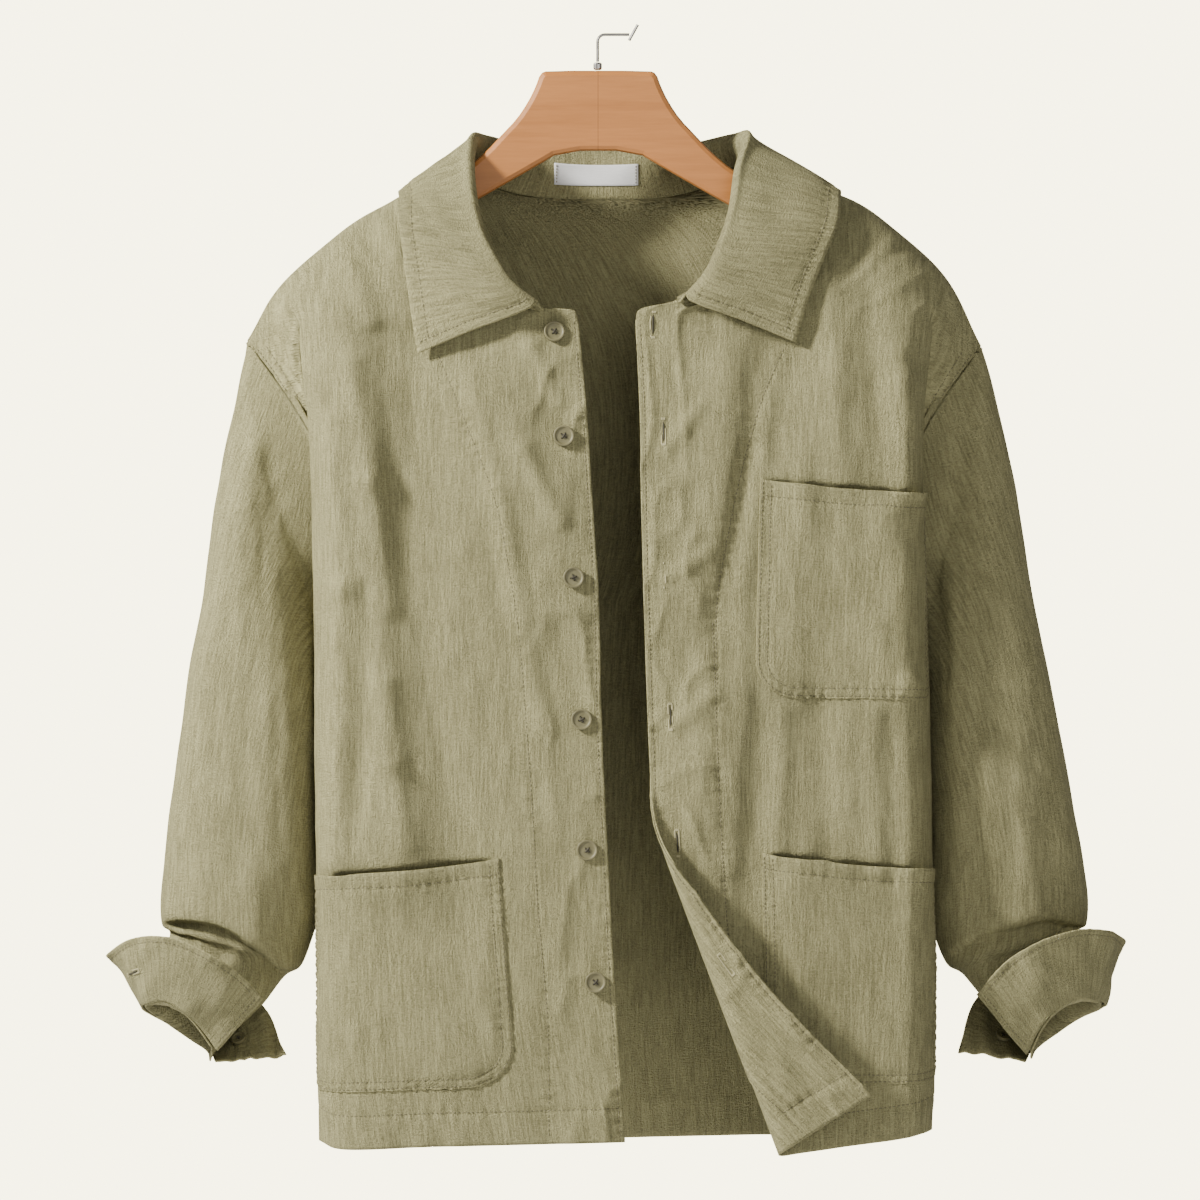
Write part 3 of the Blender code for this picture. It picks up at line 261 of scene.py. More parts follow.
BACK_CREASES = [(-150, -230, -120, -560, 20, 3.0), (140, -230, 110, -560, 20, 3.0),
                (-40, -180, -60, -520, 16, 2.2), (52, -190, 60, -640, 18, 2.4),
                (-104, -480, -90, -790, 16, 2.4), (6, -360, 0, -790, 15, -2.0)]
SLEEVE_CREASES = {
    -1: [(-262, -300, -290, -470, 10, 2.2), (-300, -430, -312, -580, 12, 1.8),
         (-236, -470, -244, -600, 12, 2.2), (-270, -480, -262, -600, 12, -1.6)],
    1: [(262, -300, 300, -470, 10, 2.2), (306, -430, 330, -590, 12, 2.2), (244, -470, 256, -610, 12, 2.0),
        (282, -480, 286, -600, 12, -1.6)],
}
# Edge of the cloth that hangs over each turned back cuff: x, z from the outer side.
SLEEVE_LIPS = {
    -1: [(-330, -641), (-315, -638), (-292, -641), (-276, -647), (-259, -657), (-245, -670), (-232, -680)],
    1: [(344, -644), (327, -640), (306, -638), (278, -644), (257, -652), (236, -664)],
}
LIP_RISE = 3.0         # how far the cloth bulges above that edge
LIP_DEPTH = 6.0        # and falls in below it
LIP_BULGE = 15.0       # how far above its edge a lip swells
LIP_EDGE = 4.0         # over which it falls in
LIP_HOLLOW = 9.0       # how far the hollow below it reaches
LIP_ENDS = 6.0         # a lip fades over one part in six at each end
# Uneven relief of washed linen: width and length of its patches, seed and height.
RELIEF = {
    "front": [(24.0, 110.0, 11, 1.35), (9.0, 40.0, 14, 0.45)],
    "front_hem": [(12.0, 70.0, 24, 1.3)],
    "back": [(30.0, 130.0, 51, 1.4), (10.0, 36.0, 52, 0.45)],
    "sleeve": [(22.0, 90.0, 71, 1.5), (9.0, 22.0, 73, 0.45)],
    "cuff": [(13.0, 26.0, 84, 1.2)],
    "collar": [(18.0, 26.0, 101, 0.8)],
    "pocket": [(16.0, 44.0, 140, 0.8)],
}
CRUMPLE = (20.0, 34.0, 17)   # patches of the fronts' sharp little ridges, and their seed
CRUMPLE_HEIGHT = 2.0
CRUMPLE_LEAST = 0.2    # share of it away from the front edge
CREST_FADE = 14.0      # relief fades over one part in fourteen below the shoulder seam
SLEEVE_FADE = 30       # and over one in thirty at both ends of a sleeve
SLEEVE_HALF_GIRTH = 95.0
CRUMPLE_FADE = 12.0    # over which they fade beyond the facing's width
HEM_RIPPLE = 48.0      # how far up from the hem its puckers run out
HEM_RIPPLE_FADE = 40.0
MOUTH_TOP = 1.5        # how far above a pocket's mouth the front begins to fall in
MOUTH_SLOPE = 5.0      # over which it does
MOUTH_DEPTH = 6.0
MOUTH_REACH = 30.0     # how far down behind the pocket the hollow goes
MOUTH_FADE = 16.0      # over which it runs out there
MOUTH_SAG = 3.6        # how far a pocket's mouth hangs below the line of its corners
SAG_FROM = 0.7         # height share from which the pocket's rows follow it
SAG_OVER = 0.3         # height share over which they do
GROOVE = 0.6           # depth of the groove that a row of stitches presses in
GROOVE_HALF = 1.7      # its half width
SEAM_FADE = 9.0        # over which it runs out at both ends of a seam
DRIFT_STEP = 30.0      # length of seam over which its puckers change
SEAM_NEAR = 14.0       # cloth farther from a seam keeps its shape
# Columns and rows of the grid of each piece of cloth.
GRID = {"front": (161, 301), "back": (141, 181), "sleeve": (112, 241), "cuff": (111, 25), "collar": (341, 53),
        "facing": (49, 121), "pocket": (65, 56), "label": (41, 13), "smooth_front": (61, 91)}

# ---- sewing and buttons
STITCH_ACROSS = 0.36   # half width of a stitch's thread
STITCH_RISE = 0.30
RIM_SWELL = 0.2625     # share of the wall by which a rim is rounded out
HOLE_STITCH = 1.5      # length of a stitch beside a buttonhole
HOLE_PITCH = 0.62
HOLE_INNER = 0.6       # half width of the slit
FRONT_HOLE = 18.0      # length of a buttonhole on the front
CUFF_HOLE = 13.0
HEM = 24.0             # height of the hem's row of stitches
ARMHOLE_ROWS = (2.0, 10.5)   # rows of stitches beside the armhole
SIDE_ROW = 4.0         # row of stitches beside the side seam
EDGE_ROW = 3.0         # beside the front edge
FACING_ROW = 2.2       # beside the facing's inner edge
CUFF_ROW = 4.0
COLLAR_ROW = 9.4       # beside the collar's long edge
COLLAR_END_ROW = 7.0
LABEL_ROW = 1.6
POCKET_ROWS = (1.6, 7.2)
LABEL_CLOTH = 0.6
LABEL_LIFT = 0.9       # how far the label's face stands off the collar

BUTTON_RADIUS = 7.5
CUFF_BUTTON_RADIUS = 5.5
BUTTON_HEIGHT = 2.8
BUTTON_RIM = 1.3
BUTTON_SINK = 0.7
BUTTON_EDGE = 0.45     # radius of its rounded edges
HOLE_APART = 0.19      # shares of a button's radius
HOLE_SIZE = 0.105

# ---- looks and stage
THREADS = 2 * math.pi / 0.0013   # a pair of threads each 1.3 mm
THREAD_DEPTH = 0.0040            # relief of slubs and threads
WEAVE_DEPTH = 0.00025
LINEN_DARK = (0.225, 0.206, 0.099)
LINEN_LIGHT = (0.395, 0.364, 0.184)
# painted shade of each buttonhole's open slit, laid over it as a dark strip
SLIT_SHADE = (0.045, 0.038, 0.018)

CAMERA_AT = (-0.0108, -12.0, -0.408)
CAMERA_LENS = 497.5
LIGHTS_AIM = (0.0, 0.0, -0.4)
WARM_WHITE = (1.0, 0.985, 0.95)
PAPER = (1.0, 0.93, 0.61, 1.0)   # the backdrop as the camera sees it
PAPER_STRENGTH = 6.9
AIR = (1.0, 0.985, 0.96, 1.0)    # what lights the cloth from all round
AIR_STRENGTH = 0.32


# ---- shape functions
def spline(keys, values, at):
    """Smooth curve through values at uneven keys, at one place or at many."""
    keys = np.asarray(keys, float)
    values = np.asarray(values, float)
    at = np.asarray(at, float)
    slopes = np.gradient(values, keys, axis=0)
    i = np.clip(np.searchsorted(keys, at) - 1, 0, len(keys) - 2)
    span = keys[i + 1] - keys[i]
    u = (at - keys[i]) / span
    if values.ndim > 1:
        span = span[..., None]
        u = u[..., None]
    return ((1 + 2 * u) * (1 - u) ** 2 * values[i] + u * (1 - u) ** 2 * span * slopes[i]
            + u * u * (3 - 2 * u) * values[i + 1] + u * u * (u - 1) * span * slopes[i + 1])


def along(points, share):
    return spline(np.linspace(0.0, 1.0, len(points)), points, share)


def unit(vectors):
    return vectors / np.maximum(np.linalg.norm(vectors, axis=-1, keepdims=True), 1e-9)


def smooth(share):
    share = np.clip(share, 0.0, 1.0)
    return share * share * (3 - 2 * share)


def running(steps, axis):
    """Running sums of steps along an axis, from zero."""
    padding = [(0, 0)] * steps.ndim
    padding[axis] = (1, 0)
    return np.pad(np.cumsum(steps, axis=axis), padding)


def lengths_along(line):
    return running(np.linalg.norm(np.diff(line, axis=0), axis=1), 0)


def past_neck(height):
    """Share of the way from the neck row up to the shoulder seam."""
    return max(0.0, height - NECK_ROW) / (1.0 - NECK_ROW)


def over_shoulder(low, top, height):
    """Place on the quarter round from a point at the neck row to one on top."""
    turn = past_neck(height) * math.pi / 2
    point = low + (top - low) * math.sin(turn)
    point[1] = top[1] + (low[1] - top[1]) * math.cos(turn)
    return point


def armhole_point(side, share, half):
    """Armhole seam at shares from shoulder tip to underarm."""
    hole = ARMHOLE[side]
    tip = np.array(hole["tip"], float)
    underarm = np.array(hole["underarm"], float)
    share = np.asarray(share, float)
    arch = np.sin(np.pi * np.clip(share, 0.0, 1.0))
    point = tip + (underarm - tip) * share[..., None]
    point[..., 0] -= side * hole["bow"] * arch
    point[..., 1] += ARMHOLE_OUT[half] * np.maximum(arch, 0.0) ** ARMHOLE_ROUND
    return point


def seam_point(side, table, height, half):
    """Side seam below the underarm, armhole above it."""
    if height >= UNDERARM_ROW:
        return armhole_point(side, (1.0 - height) / (1.0 - UNDERARM_ROW), half)
    keys = [row[0] for row in table[:4]] + [UNDERARM_ROW]
    seams = [row[4] for row in table[:4]] + [ARMHOLE[side]["underarm"]]
    return spline(keys, seams, height)


def behind(point, side):
    """Place on the back that answers to one on the front."""
    return np.array([point[0] - side * BACK_FOLD_IN, -point[1] * BACK_DEPTH / FRONT_DEPTH, point[2]])


def guide(side, table, column, height, half):
    """Flank or fold guide, carried over the shoulder on a quarter round."""
    points = [row[column] for row in table]
    if height <= NECK_ROW:
        point = spline([row[0] for row in table], points, height)
        return point if half == "front" else behind(point, side)
    base = np.array(points[-1], float)
    if half == "back":
        base = behind(base, side)
    crest_x, crest_z = CREST[side][column]
    top = np.array([crest_x, (-1.0 if half == "front" else 1.0) * CREST_GAP, crest_z])
    return over_shoulder(base, top, height)


def crest_point(side, share):
    flat = spline(CREST_AT, CREST[side], share)
    return np.stack([flat[..., 0], np.zeros_like(flat[..., 0]), flat[..., 1]], axis=-1)


def fold_height(x, z, folds):
    """How far ridges and troughs raise a face at places x, z."""
    total = np.zeros_like(x)
    for x0, z0, x1, z1, half, height in folds:
        line = np.array([x1 - x0, z1 - z0], float)
        length = float(line @ line)
        share = ((x - x0) * line[0] + (z - z0) * line[1]) / length
        near = np.clip(share, 0.0, 1.0)
        distance = np.hypot(x - x0 - line[0] * near, z - z0 - line[1] * near)
        ends = np.exp(-(np.maximum(np.maximum(share - 1.0, -share), 0.0) * FOLD_END) ** 2)
        total += height * ends * np.exp(-(distance / half) ** 2)
    return total


def front_base(side, across, height):
    table = RIGHT_FRONT if side < 0 else LEFT_FRONT
    if height <= NECK_ROW:
        edge = spline([row[0] for row in table], [row[1] for row in table], height)
    else:
        edge = along(NECKLINE[side], past_neck(height))
    flank = guide(side, table, 2, height, "front")
    ridge = guide(side, table, 3, height, "front")
    seam = seam_point(side, table, height, "front")
    crown = np.array([0.0, -CROWN, 0.0]) * min(1.0, (1.0 - height) / (1.0 - NECK_ROW))
    first = edge + (flank - edge) * THIRDS[0] + crown * CROWN_NEAR
    second = edge + (flank - edge) * THIRDS[1] + crown
    keys = [0.0, FLANK_AT * THIRDS[0], FLANK_AT * THIRDS[1], FLANK_AT, RIDGE_AT, 1.0]
    return spline(keys, [edge, first, second, flank, ridge, seam], across)


def front_row(side, across, height):
    """Row of points on a front's outer face, from its edge to the side seam."""
    row = front_base(side, across, height)
    if height > NECK_ROW:
        climb = past_neck(height) ** 2
        row = row + (crest_point(side, across) - front_base(side, across, 1.0)) * climb
        row[:, 1] = np.minimum(row[:, 1], 0.0) - CREST_GAP * climb
    fade = min(1.0, (1.0 - height) / FOLDS_END) * np.clip((RIDGE_AT - across) / FOLDS_SIDE, 0.0, 1.0)
    row[:, 1] -= fold_height(row[:, 0], row[:, 2], FOLDS) * fade
    return row


def curl(points):
    """Turn the left front's lower corner out about its fold line."""
    start = np.array(CURL_START)
    line = unit(np.array(CURL_END) - start)
    outward = np.array([line[1], -line[0]])
    flat = points[..., [0, 2]]
    beyond = np.maximum((flat - start) @ outward, 0.0)
    angle = np.minimum(beyond / CURL_RADIUS, CURL_ANGLE)
    rest = beyond - angle * CURL_RADIUS
    shift = CURL_RADIUS * np.sin(angle) + rest * np.cos(angle) - beyond
    lift = CURL_RADIUS * (1.0 - np.cos(angle)) + rest * np.sin(angle)
    flat = flat + outward * shift[..., None]
    return np.stack([flat[..., 0], points[..., 1] - lift, flat[..., 1]], axis=-1)


def back_base(across, height):
    ends = {}
    for side, table in ((-1, RIGHT_FRONT), (1, LEFT_FRONT)):
        ends[side] = (seam_point(side, table, height, "back"), guide(side, table, 3, height, "back"),
                      guide(side, table, 2, height, "back"))
    middle = []
    low_height = min(height, NECK_ROW)
    first = guide(-1, RIGHT_FRONT, 2, low_height, "back")
    last = guide(1, LEFT_FRONT, 2, low_height, "back")
    for share, bulge, neck, _ in BACK_MIDDLE:
        low = first + (last - first) * share
        low[1] += bulge
        middle.append(over_shoulder(low, along(BACK_NECK, neck), height))
    keys = [0.0, BACK_RIDGE_AT, BACK_FLANK_AT, *(row[3] for row in BACK_MIDDLE), 1.0 - BACK_FLANK_AT,
            1.0 - BACK_RIDGE_AT, 1.0]
    return spline(keys, [*ends[-1], *middle, *reversed(ends[1])], across)


def back_top(across):
    """Top edge of the back: right shoulder seam, neck seam, left shoulder seam."""
    right = crest_point(-1, np.clip(1.0 - across / NECK_AT, 0.0, 1.0))
    left = crest_point(1, np.clip(1.0 - (1.0 - across) / NECK_AT, 0.0, 1.0))
    neck = along(BACK_NECK, np.clip((across - NECK_AT) / (1.0 - 2 * NECK_AT), 0.0, 1.0))
    top = np.where((across < NECK_AT)[:, None], right, neck)
    return np.where((across > 1.0 - NECK_AT)[:, None], left, top)


def back_row(across, height):
    """Row of points on the back's outer face, from right side seam to left."""
    row = back_base(across, height)
    edge = np.minimum(across, 1.0 - across)
    row[:, 1] += SEAM_GAP * np.clip(1.0 - edge / BACK_SEAM_END, 0.0, 1.0)
    if height > NECK_ROW:
        climb = past_neck(height) ** 2
        row = row + (back_top(across) - back_base(across, 1.0)) * climb
        row[:, 1] = np.maximum(row[:, 1], 0.0) + CREST_GAP * climb
    return row


def wrist_ring(side, around):
    """End of a sleeve, just inside the fold of its turned back cuff."""
    folds = np.array([row[1] for row in CUFF[side]], float)
    last = len(folds) - 1
    stations = np.where(around < 0.5, (0.5 - around) * last, (1.5 - around) * last)
    ring = spline(range(last + 1), folds, stations)
    middle = (folds[0] + folds[-1]) / 2
    ring = np.where((np.abs(around - 0.5) < 1e-6)[:, None], middle, ring)
    inward = folds.mean(axis=0) - ring
    inward[:, 2] = 0.0
    return ring + unit(inward) * (DOUBLE_CLOTH + SEAM_GAP + WRIST_INSET) + np.array([0.0, 0.0, WRIST_INSET])


def sleeve_ring(side, around, down):
    """Ring of points on a sleeve's outer face; around starts at the outer fold."""
    hole = ARMHOLE[side]
    rows = SLEEVE[side]
    share = (1.0 - np.cos(2 * np.pi * around)) / 2
    front = around <= 0.5
    seam = np.where(front[:, None], armhole_point(side, share, "front"), armhole_point(side, share, "back"))
    if down <= 0.0:
        step = sleeve_ring(side, around, 0.04) - seam
        return seam + unit(step) * ARMHOLE_GAP
    tip, underarm = hole["tip"], hole["underarm"]
    first = (tip[0], tip[2], underarm[0], underarm[2], -ARMHOLE_OUT["front"], ARMHOLE_OUT["back"])
    row = spline(np.linspace(0.0, 1.0, len(rows) + 1), [first, *rows], down)
    outer = np.array([row[0], SLEEVE_CENTRE_Y, row[1]])
    inner = np.array([row[2], SLEEVE_CENTRE_Y, row[3]])
    ring = outer + (inner - outer) * share[:, None]
    near_armhole = max(0.0, 1.0 - down / UNDERARM_REACH)
    flat = UNDERARM_FLAT * near_armhole * share ** 3
    arch = np.abs(np.sin(2 * np.pi * around)) ** SLEEVE_ROUND * (1.0 - flat)
    ring[:, 1] += np.where(front, -row[4], row[5]) * arch
    ring[:, 0] -= side * hole["bow"] * max(0.0, 1.0 - down / BOW_REACH) ** 2 * np.sin(np.pi * share)
    last_row = 1.0 - 1.0 / len(rows)
    if down > last_row:
        flare = (down - last_row) / (1.0 - last_row)
        ring = ring + (wrist_ring(side, around) - ring) * flare ** 2
    return ring


def collar_rows():
    return [*COLLAR[-1], COLLAR_CENTRE, *COLLAR[1][::-1]]


def neck_share(station):
    """Neckline of a collar station: side (0 for the back's) and share along it."""
    shares = [row[0] for row in collar_rows()]
    last = LAST_STATION
    if station < SHOULDER_STATION:
        return -1, spline(range(SHOULDER_STATION + 1), shares[:SHOULDER_STATION + 1], station)
    if station > last - SHOULDER_STATION:
        return 1, spline(range(SHOULDER_STATION + 1), shares[:-SHOULDER_STATION - 2:-1], last - station)
    on_back = [0.0, *shares[SHOULDER_STATION + 1:last - SHOULDER_STATION], 1.0]
    return 0, spline(range(SHOULDER_STATION, last - SHOULDER_STATION + 1), on_back, station)


def collar_line(station, shares):
    """Points of the collar from its seam (0) over the roll (0.4) to its edge (1)."""
    rows = collar_rows()
    roll, edge = (spline(range(len(rows)), [row[k] for row in rows], station) for k in (1, 2))
    side, neck_at = neck_share(station)
    seam = along(NECKLINE[side] if side else BACK_NECK, neck_at)
    rising = unit(roll - seam)
    inward = unit(np.array([COLLAR_AXIS[0] - seam[0], COLLAR_AXIS[1] - seam[1], 0.0])) + (0.0, 0.0, 1.0)
    inward = unit(inward - rising * np.dot(inward, rising))
    seam = seam + rising * COLLAR_LIFT + inward * COLLAR_IN
    out = unit(np.array([roll[0] - COLLAR_AXIS[0], roll[1] - COLLAR_AXIS[1], 0.0]))
    down = np.array([0.0, 0.0, -COLLAR_ROLL])
    inner = roll - out * COLLAR_ROLL + down
    outer = roll + out * COLLAR_ROLL + down
    middle = (outer + edge) / 2 + out * FALL_SWELL
    return spline(COLLAR_AT, [seam, inner, roll, outer, middle, edge], shares)


# ---- cloth surfaces
class Surface:
    """A face of cloth sampled on even grids of two shares."""

    def __init__(self, points, ring=False, flip=False):
        self.points = np.asarray(points, float)
        self.ring = ring
        self.flip = flip
        self.find_normals()
        self.find_flat()

    def find_normals(self):
        points = self.points
        if self.ring:
            points = np.concatenate([points[:, -1:], points, points[:, :1]], axis=1)
        normals = np.cross(np.gradient(points, axis=1), np.gradient(points, axis=0))
        if self.ring:
            normals = normals[:, 1:-1]
        self.normals = unit(normals) * (-1.0 if self.flip else 1.0)

    def find_flat(self):
        """Lengths along both grid directions, in millimetres, as on the cut piece."""
        across = np.linalg.norm(np.diff(self.points, axis=1), axis=2)
        down = np.linalg.norm(np.diff(self.points, axis=0), axis=2)
        self.u = running(across, 1)
        self.v = running(down, 0)
        self.grain = np.stack([self.u, self.v], axis=-1)

    def hang_grain(self):
        """Run the threads plumb and level, as in a panel cut on the straight."""
        across = np.linalg.norm(np.diff(self.points[..., :2], axis=1), axis=2)
        down = np.linalg.norm(np.diff(self.points[..., 1:], axis=0), axis=2)
        start = np.abs(self.points[:, :1, 0])
        self.grain = np.stack([running(across, 1) + start, running(down, 0)], axis=-1)

    def lay_grain(self):
        """Run the threads along the rows and columns, as in a piece cut to its shape."""
        across = self.u.mean(axis=0)[None, :]
        down = self.v.mean(axis=1)[:, None]
        self.grain = np.stack(np.broadcast_arrays(across, down), axis=-1)

    def run_grain(self, axis):
        """Run the threads along a tube's axis, as in a sleeve cut along its arm."""
        axis = unit(np.array(axis, float))
        closed = np.concatenate([self.points, self.points[:, :1]], axis=1)
        step = np.diff(closed, axis=1)
        level = np.linalg.norm(step - (step @ axis)[..., None] * axis, axis=2)
        girth = level.sum(axis=1, keepdims=True)
        run = running(level[:, :-1], 1)
        self.grain = np.stack([np.minimum(run, girth - run), self.points @ axis], axis=-1)

    def raise_by(self, height):
        """Move the face out along its normals, and keep its flat lengths."""
        self.points = self.points + self.normals * height[..., None]
        self.find_normals()

    def sample(self, grid, s, t):
        """Smooth value of a grid at shares s (columns) and t (rows)."""
        rows, columns = grid.shape[:2]
        fj = np.asarray(s, float) * (columns - 1 if not self.ring else columns)
        fi = np.asarray(t, float) * (rows - 1)
        i = np.clip(np.floor(fi).astype(int), 0, rows - 2)
        j = np.floor(fj).astype(int)
        if not self.ring:
            j = np.clip(j, 0, columns - 2)
        total = 0.0
        for di, wi in zip((-1, 0, 1, 2), cubic_weights(fi - i)):
            ii = np.clip(i + di, 0, rows - 1)
            for dj, wj in zip((-1, 0, 1, 2), cubic_weights(fj - j)):
                jj = (j + dj) % columns if self.ring else np.clip(j + dj, 0, columns - 1)
                total = total + grid[ii, jj] * (wi * wj)[..., None]
        return total

    def at(self, s, t, lift=0.0):
        point = self.sample(self.points, s, t)
        if np.any(lift):
            point = point + self.normal_at(s, t) * np.asarray(lift, float)[..., None]
        return point

    def normal_at(self, s, t):
        return unit(self.sample(self.normals, s, t))

    def seen_at(self, s, t):
        return self.at(s, t)[0][[0, 2]]

    def find(self, x, z, s_range=(0.0, FLANK_AT + 0.08)):
        """Shares of the places that show at x, z from the front."""
        rows, columns = self.points.shape[:2]
        keep = slice(int(s_range[0] * (columns - 1)), int(s_range[1] * (columns - 1)) + 1)
        grid = self.points[:, keep][..., [0, 2]]
        found = []
        for target in np.stack([np.atleast_1d(x), np.atleast_1d(z)], axis=-1):
            flat = np.sum((grid - target) ** 2, axis=2)
            i, j = np.unravel_index(np.argmin(flat), flat.shape)
            place = np.array([(j + keep.start) / (columns - 1), i / (rows - 1)])
            step = 0.002
            for _ in range(4):
                here = self.seen_at(place[:1], place[1:])
                ds = (self.seen_at(place[:1] + step, place[1:]) - here) / step
                dt = (self.seen_at(place[:1], place[1:] + step) - here) / step
                move = np.linalg.lstsq(np.column_stack([ds, dt]), target - here, rcond=None)[0]
                place = np.clip(place + np.clip(move, -0.02, 0.02), 0.0, 1.0)
            found.append(place)
        found = np.array(found)
        return found[:, 0], found[:, 1]


def cubic_weights(u):
    return (-0.5 * u + u * u - 0.5 * u ** 3, 1 - 2.5 * u * u + 1.5 * u ** 3,
            0.5 * u + 2 * u * u - 1.5 * u ** 3, -0.5 * u * u + 0.5 * u ** 3)


# ---- soft relief
def rumple(u, v, wavelength, seed):
    """Uneven surface of washed linen: a few waves at odd angles, from -1 to 1."""
    dice = np.random.default_rng(seed)
    total = np.zeros_like(u)
    waves = 9
    for _ in range(waves):
        angle = dice.uniform(0.0, math.pi)
        size = 2 * math.pi / (wavelength * dice.uniform(0.7, 1.5))
        along_u, along_v = size * math.cos(angle), size * math.sin(angle)
        total += np.sin(u * along_u + v * along_v + dice.uniform(0.0, 2 * math.pi))
    return total / math.sqrt(waves)


def patchy(u, v, width, length, seed):
    """Smooth random field between -1 and 1, whose patches have a width and a length."""
    dice = np.random.default_rng(seed)
    fu = (u - u.min()) / width
    fv = (v - v.min()) / length
    field = dice.uniform(-1.0, 1.0, (int(fv.max()) + 5, int(fu.max()) + 5))
    i = np.floor(fv).astype(int) + 1
    j = np.floor(fu).astype(int) + 1
    total = np.zeros_like(u)
    for di, wi in zip((-1, 0, 1, 2), cubic_weights(fv - i + 1)):
        for dj, wj in zip((-1, 0, 1, 2), cubic_weights(fu - j + 1)):
            total += field[i + di, j + dj] * wi * wj
    return total


def crumple(u, v, width, length, seed):
    """Sharp little ridges that wander between patches, from 0 to 1."""
    return (1.0 - np.abs(patchy(u, v, width, length, seed))) ** 3


def creases(surface, folds, facing=-1.0):
    """Listed ridges and troughs, on the side of a piece that faces -Y or +Y."""
    height = fold_height(surface.points[..., 0], surface.points[..., 2], folds)
    return height * smooth(facing * surface.normals[..., 1] * 1.6 + 0.1)


def faces_front(surface):
    return smooth(-surface.normals[..., 1] * 2.0)


def rolled_lip(surface, places):
    """Cloth that bulges above a line x, z seen from the front and falls in below it."""
    line = along(places, np.linspace(0.0, 1.0, 90))
    flat = surface.points[..., [0, 2]]
    gaps = flat[..., None, :] - line
    distances = np.linalg.norm(gaps, axis=-1)
    nearest = distances.argmin(axis=-1)
    distance = np.take_along_axis(distances, nearest[..., None], axis=-1)[..., 0]
    above = flat[..., 1] > line[nearest, 1]
    share = nearest / (len(line) - 1)
    fade = smooth(share * LIP_ENDS) * smooth((1.0 - share) * LIP_ENDS) * faces_front(surface)
    bulge = LIP_RISE * np.exp(-(distance / LIP_BULGE) ** 2)
    fall = smooth(distance / LIP_EDGE)
    hollow = LIP_RISE * (1.0 - fall) - LIP_DEPTH * fall * np.exp(-((distance - LIP_EDGE) / LIP_HOLLOW) ** 2)
    return np.where(above, bulge, hollow) * fade


def mouth_hollow(surface, pocket):
    """How far a front falls in behind the sagging mouth of a pocket."""
    inner, outer = np.array(pocket["inner_mouth"], float), np.array(pocket["outer_mouth"], float)
    line = outer - inner
    length = float(np.hypot(*line))
    up = np.array([-line[1], line[0]]) / length * np.sign(line[0])
    flat = surface.points[..., [0, 2]] - inner
    share = flat @ line / length ** 2
    above = flat @ up
    ends = smooth(share * 9.0 - 0.1) * smooth((1.0 - share) * 14.0)
    fall = smooth((MOUTH_TOP - above) / MOUTH_SLOPE) * smooth((above + MOUTH_REACH) / MOUTH_FADE)
    return MOUTH_DEPTH * ends * fall * faces_front(surface)


def line_distance(surface, line):
    """Distance of each place on the cloth from a seam, and how far along the seam it is."""
    lengths = lengths_along(line)
    flat = surface.points.reshape(-1, 3)
    distance = np.full(len(flat), 99.0)
    place = np.zeros(len(flat))
    low, high = line.min(axis=0) - SEAM_NEAR, line.max(axis=0) + SEAM_NEAR
    near = np.where(np.all((flat > low) & (flat < high), axis=1))[0]
    for chunk in np.array_split(near, max(1, len(near) // 4000)):
        if not len(chunk):
            continue
        gaps = np.linalg.norm(flat[chunk, None] - line[None], axis=2)
        nearest = gaps.argmin(axis=1)
        distance[chunk] = gaps[np.arange(len(chunk)), nearest]
        place[chunk] = lengths[nearest]
    shape = surface.points.shape[:2]
    return distance.reshape(shape), place.reshape(shape)


def seam_relief(surface, line, seed, pucker=0.6, reach=6.5, pitch=9.0):
    """Groove of a row of stitches with the small puckers on both its sides."""
    distance, place = line_distance(surface, line)
    dice = np.random.default_rng(seed)
    knots = np.arange(0.0, place.max() + DRIFT_STEP, DRIFT_STEP)
    drift = np.interp(place, knots, dice.uniform(-5.0, 5.0, len(knots)))
    strength = np.interp(place, knots, dice.uniform(0.3, 1.0, len(knots)))
    waves = np.sin(place * 2 * math.pi / pitch + drift)
    ends = smooth(place / SEAM_FADE) * smooth((place.max() - place) / SEAM_FADE)
    return ends * (-GROOVE * np.exp(-(distance / GROOVE_HALF) ** 2)
                   + pucker * strength * waves * np.exp(-(distance / reach) ** 2))


# ---- mesh makers
def add_object(name, data):
    obj = bpy.data.objects.new(name, data)
    bpy.context.scene.collection.objects.link(obj)
    return obj


def new_mesh_object(name, vertices, faces, material, uv=None):
    mesh = bpy.data.meshes.new(name)
    mesh.from_pydata((vertices * MM).tolist(), [], faces.tolist())
    mesh.validate()
    if uv is not None:
        layer = mesh.uv_layers.new(name="cloth")
        corner = np.zeros(len(mesh.loops), int)
        mesh.loops.foreach_get("vertex_index", corner)
        layer.data.foreach_set("uv", (uv[corner] * MM).ravel())
    mesh.shade_smooth()
    mesh.materials.append(material)
    return add_object(name, mesh)


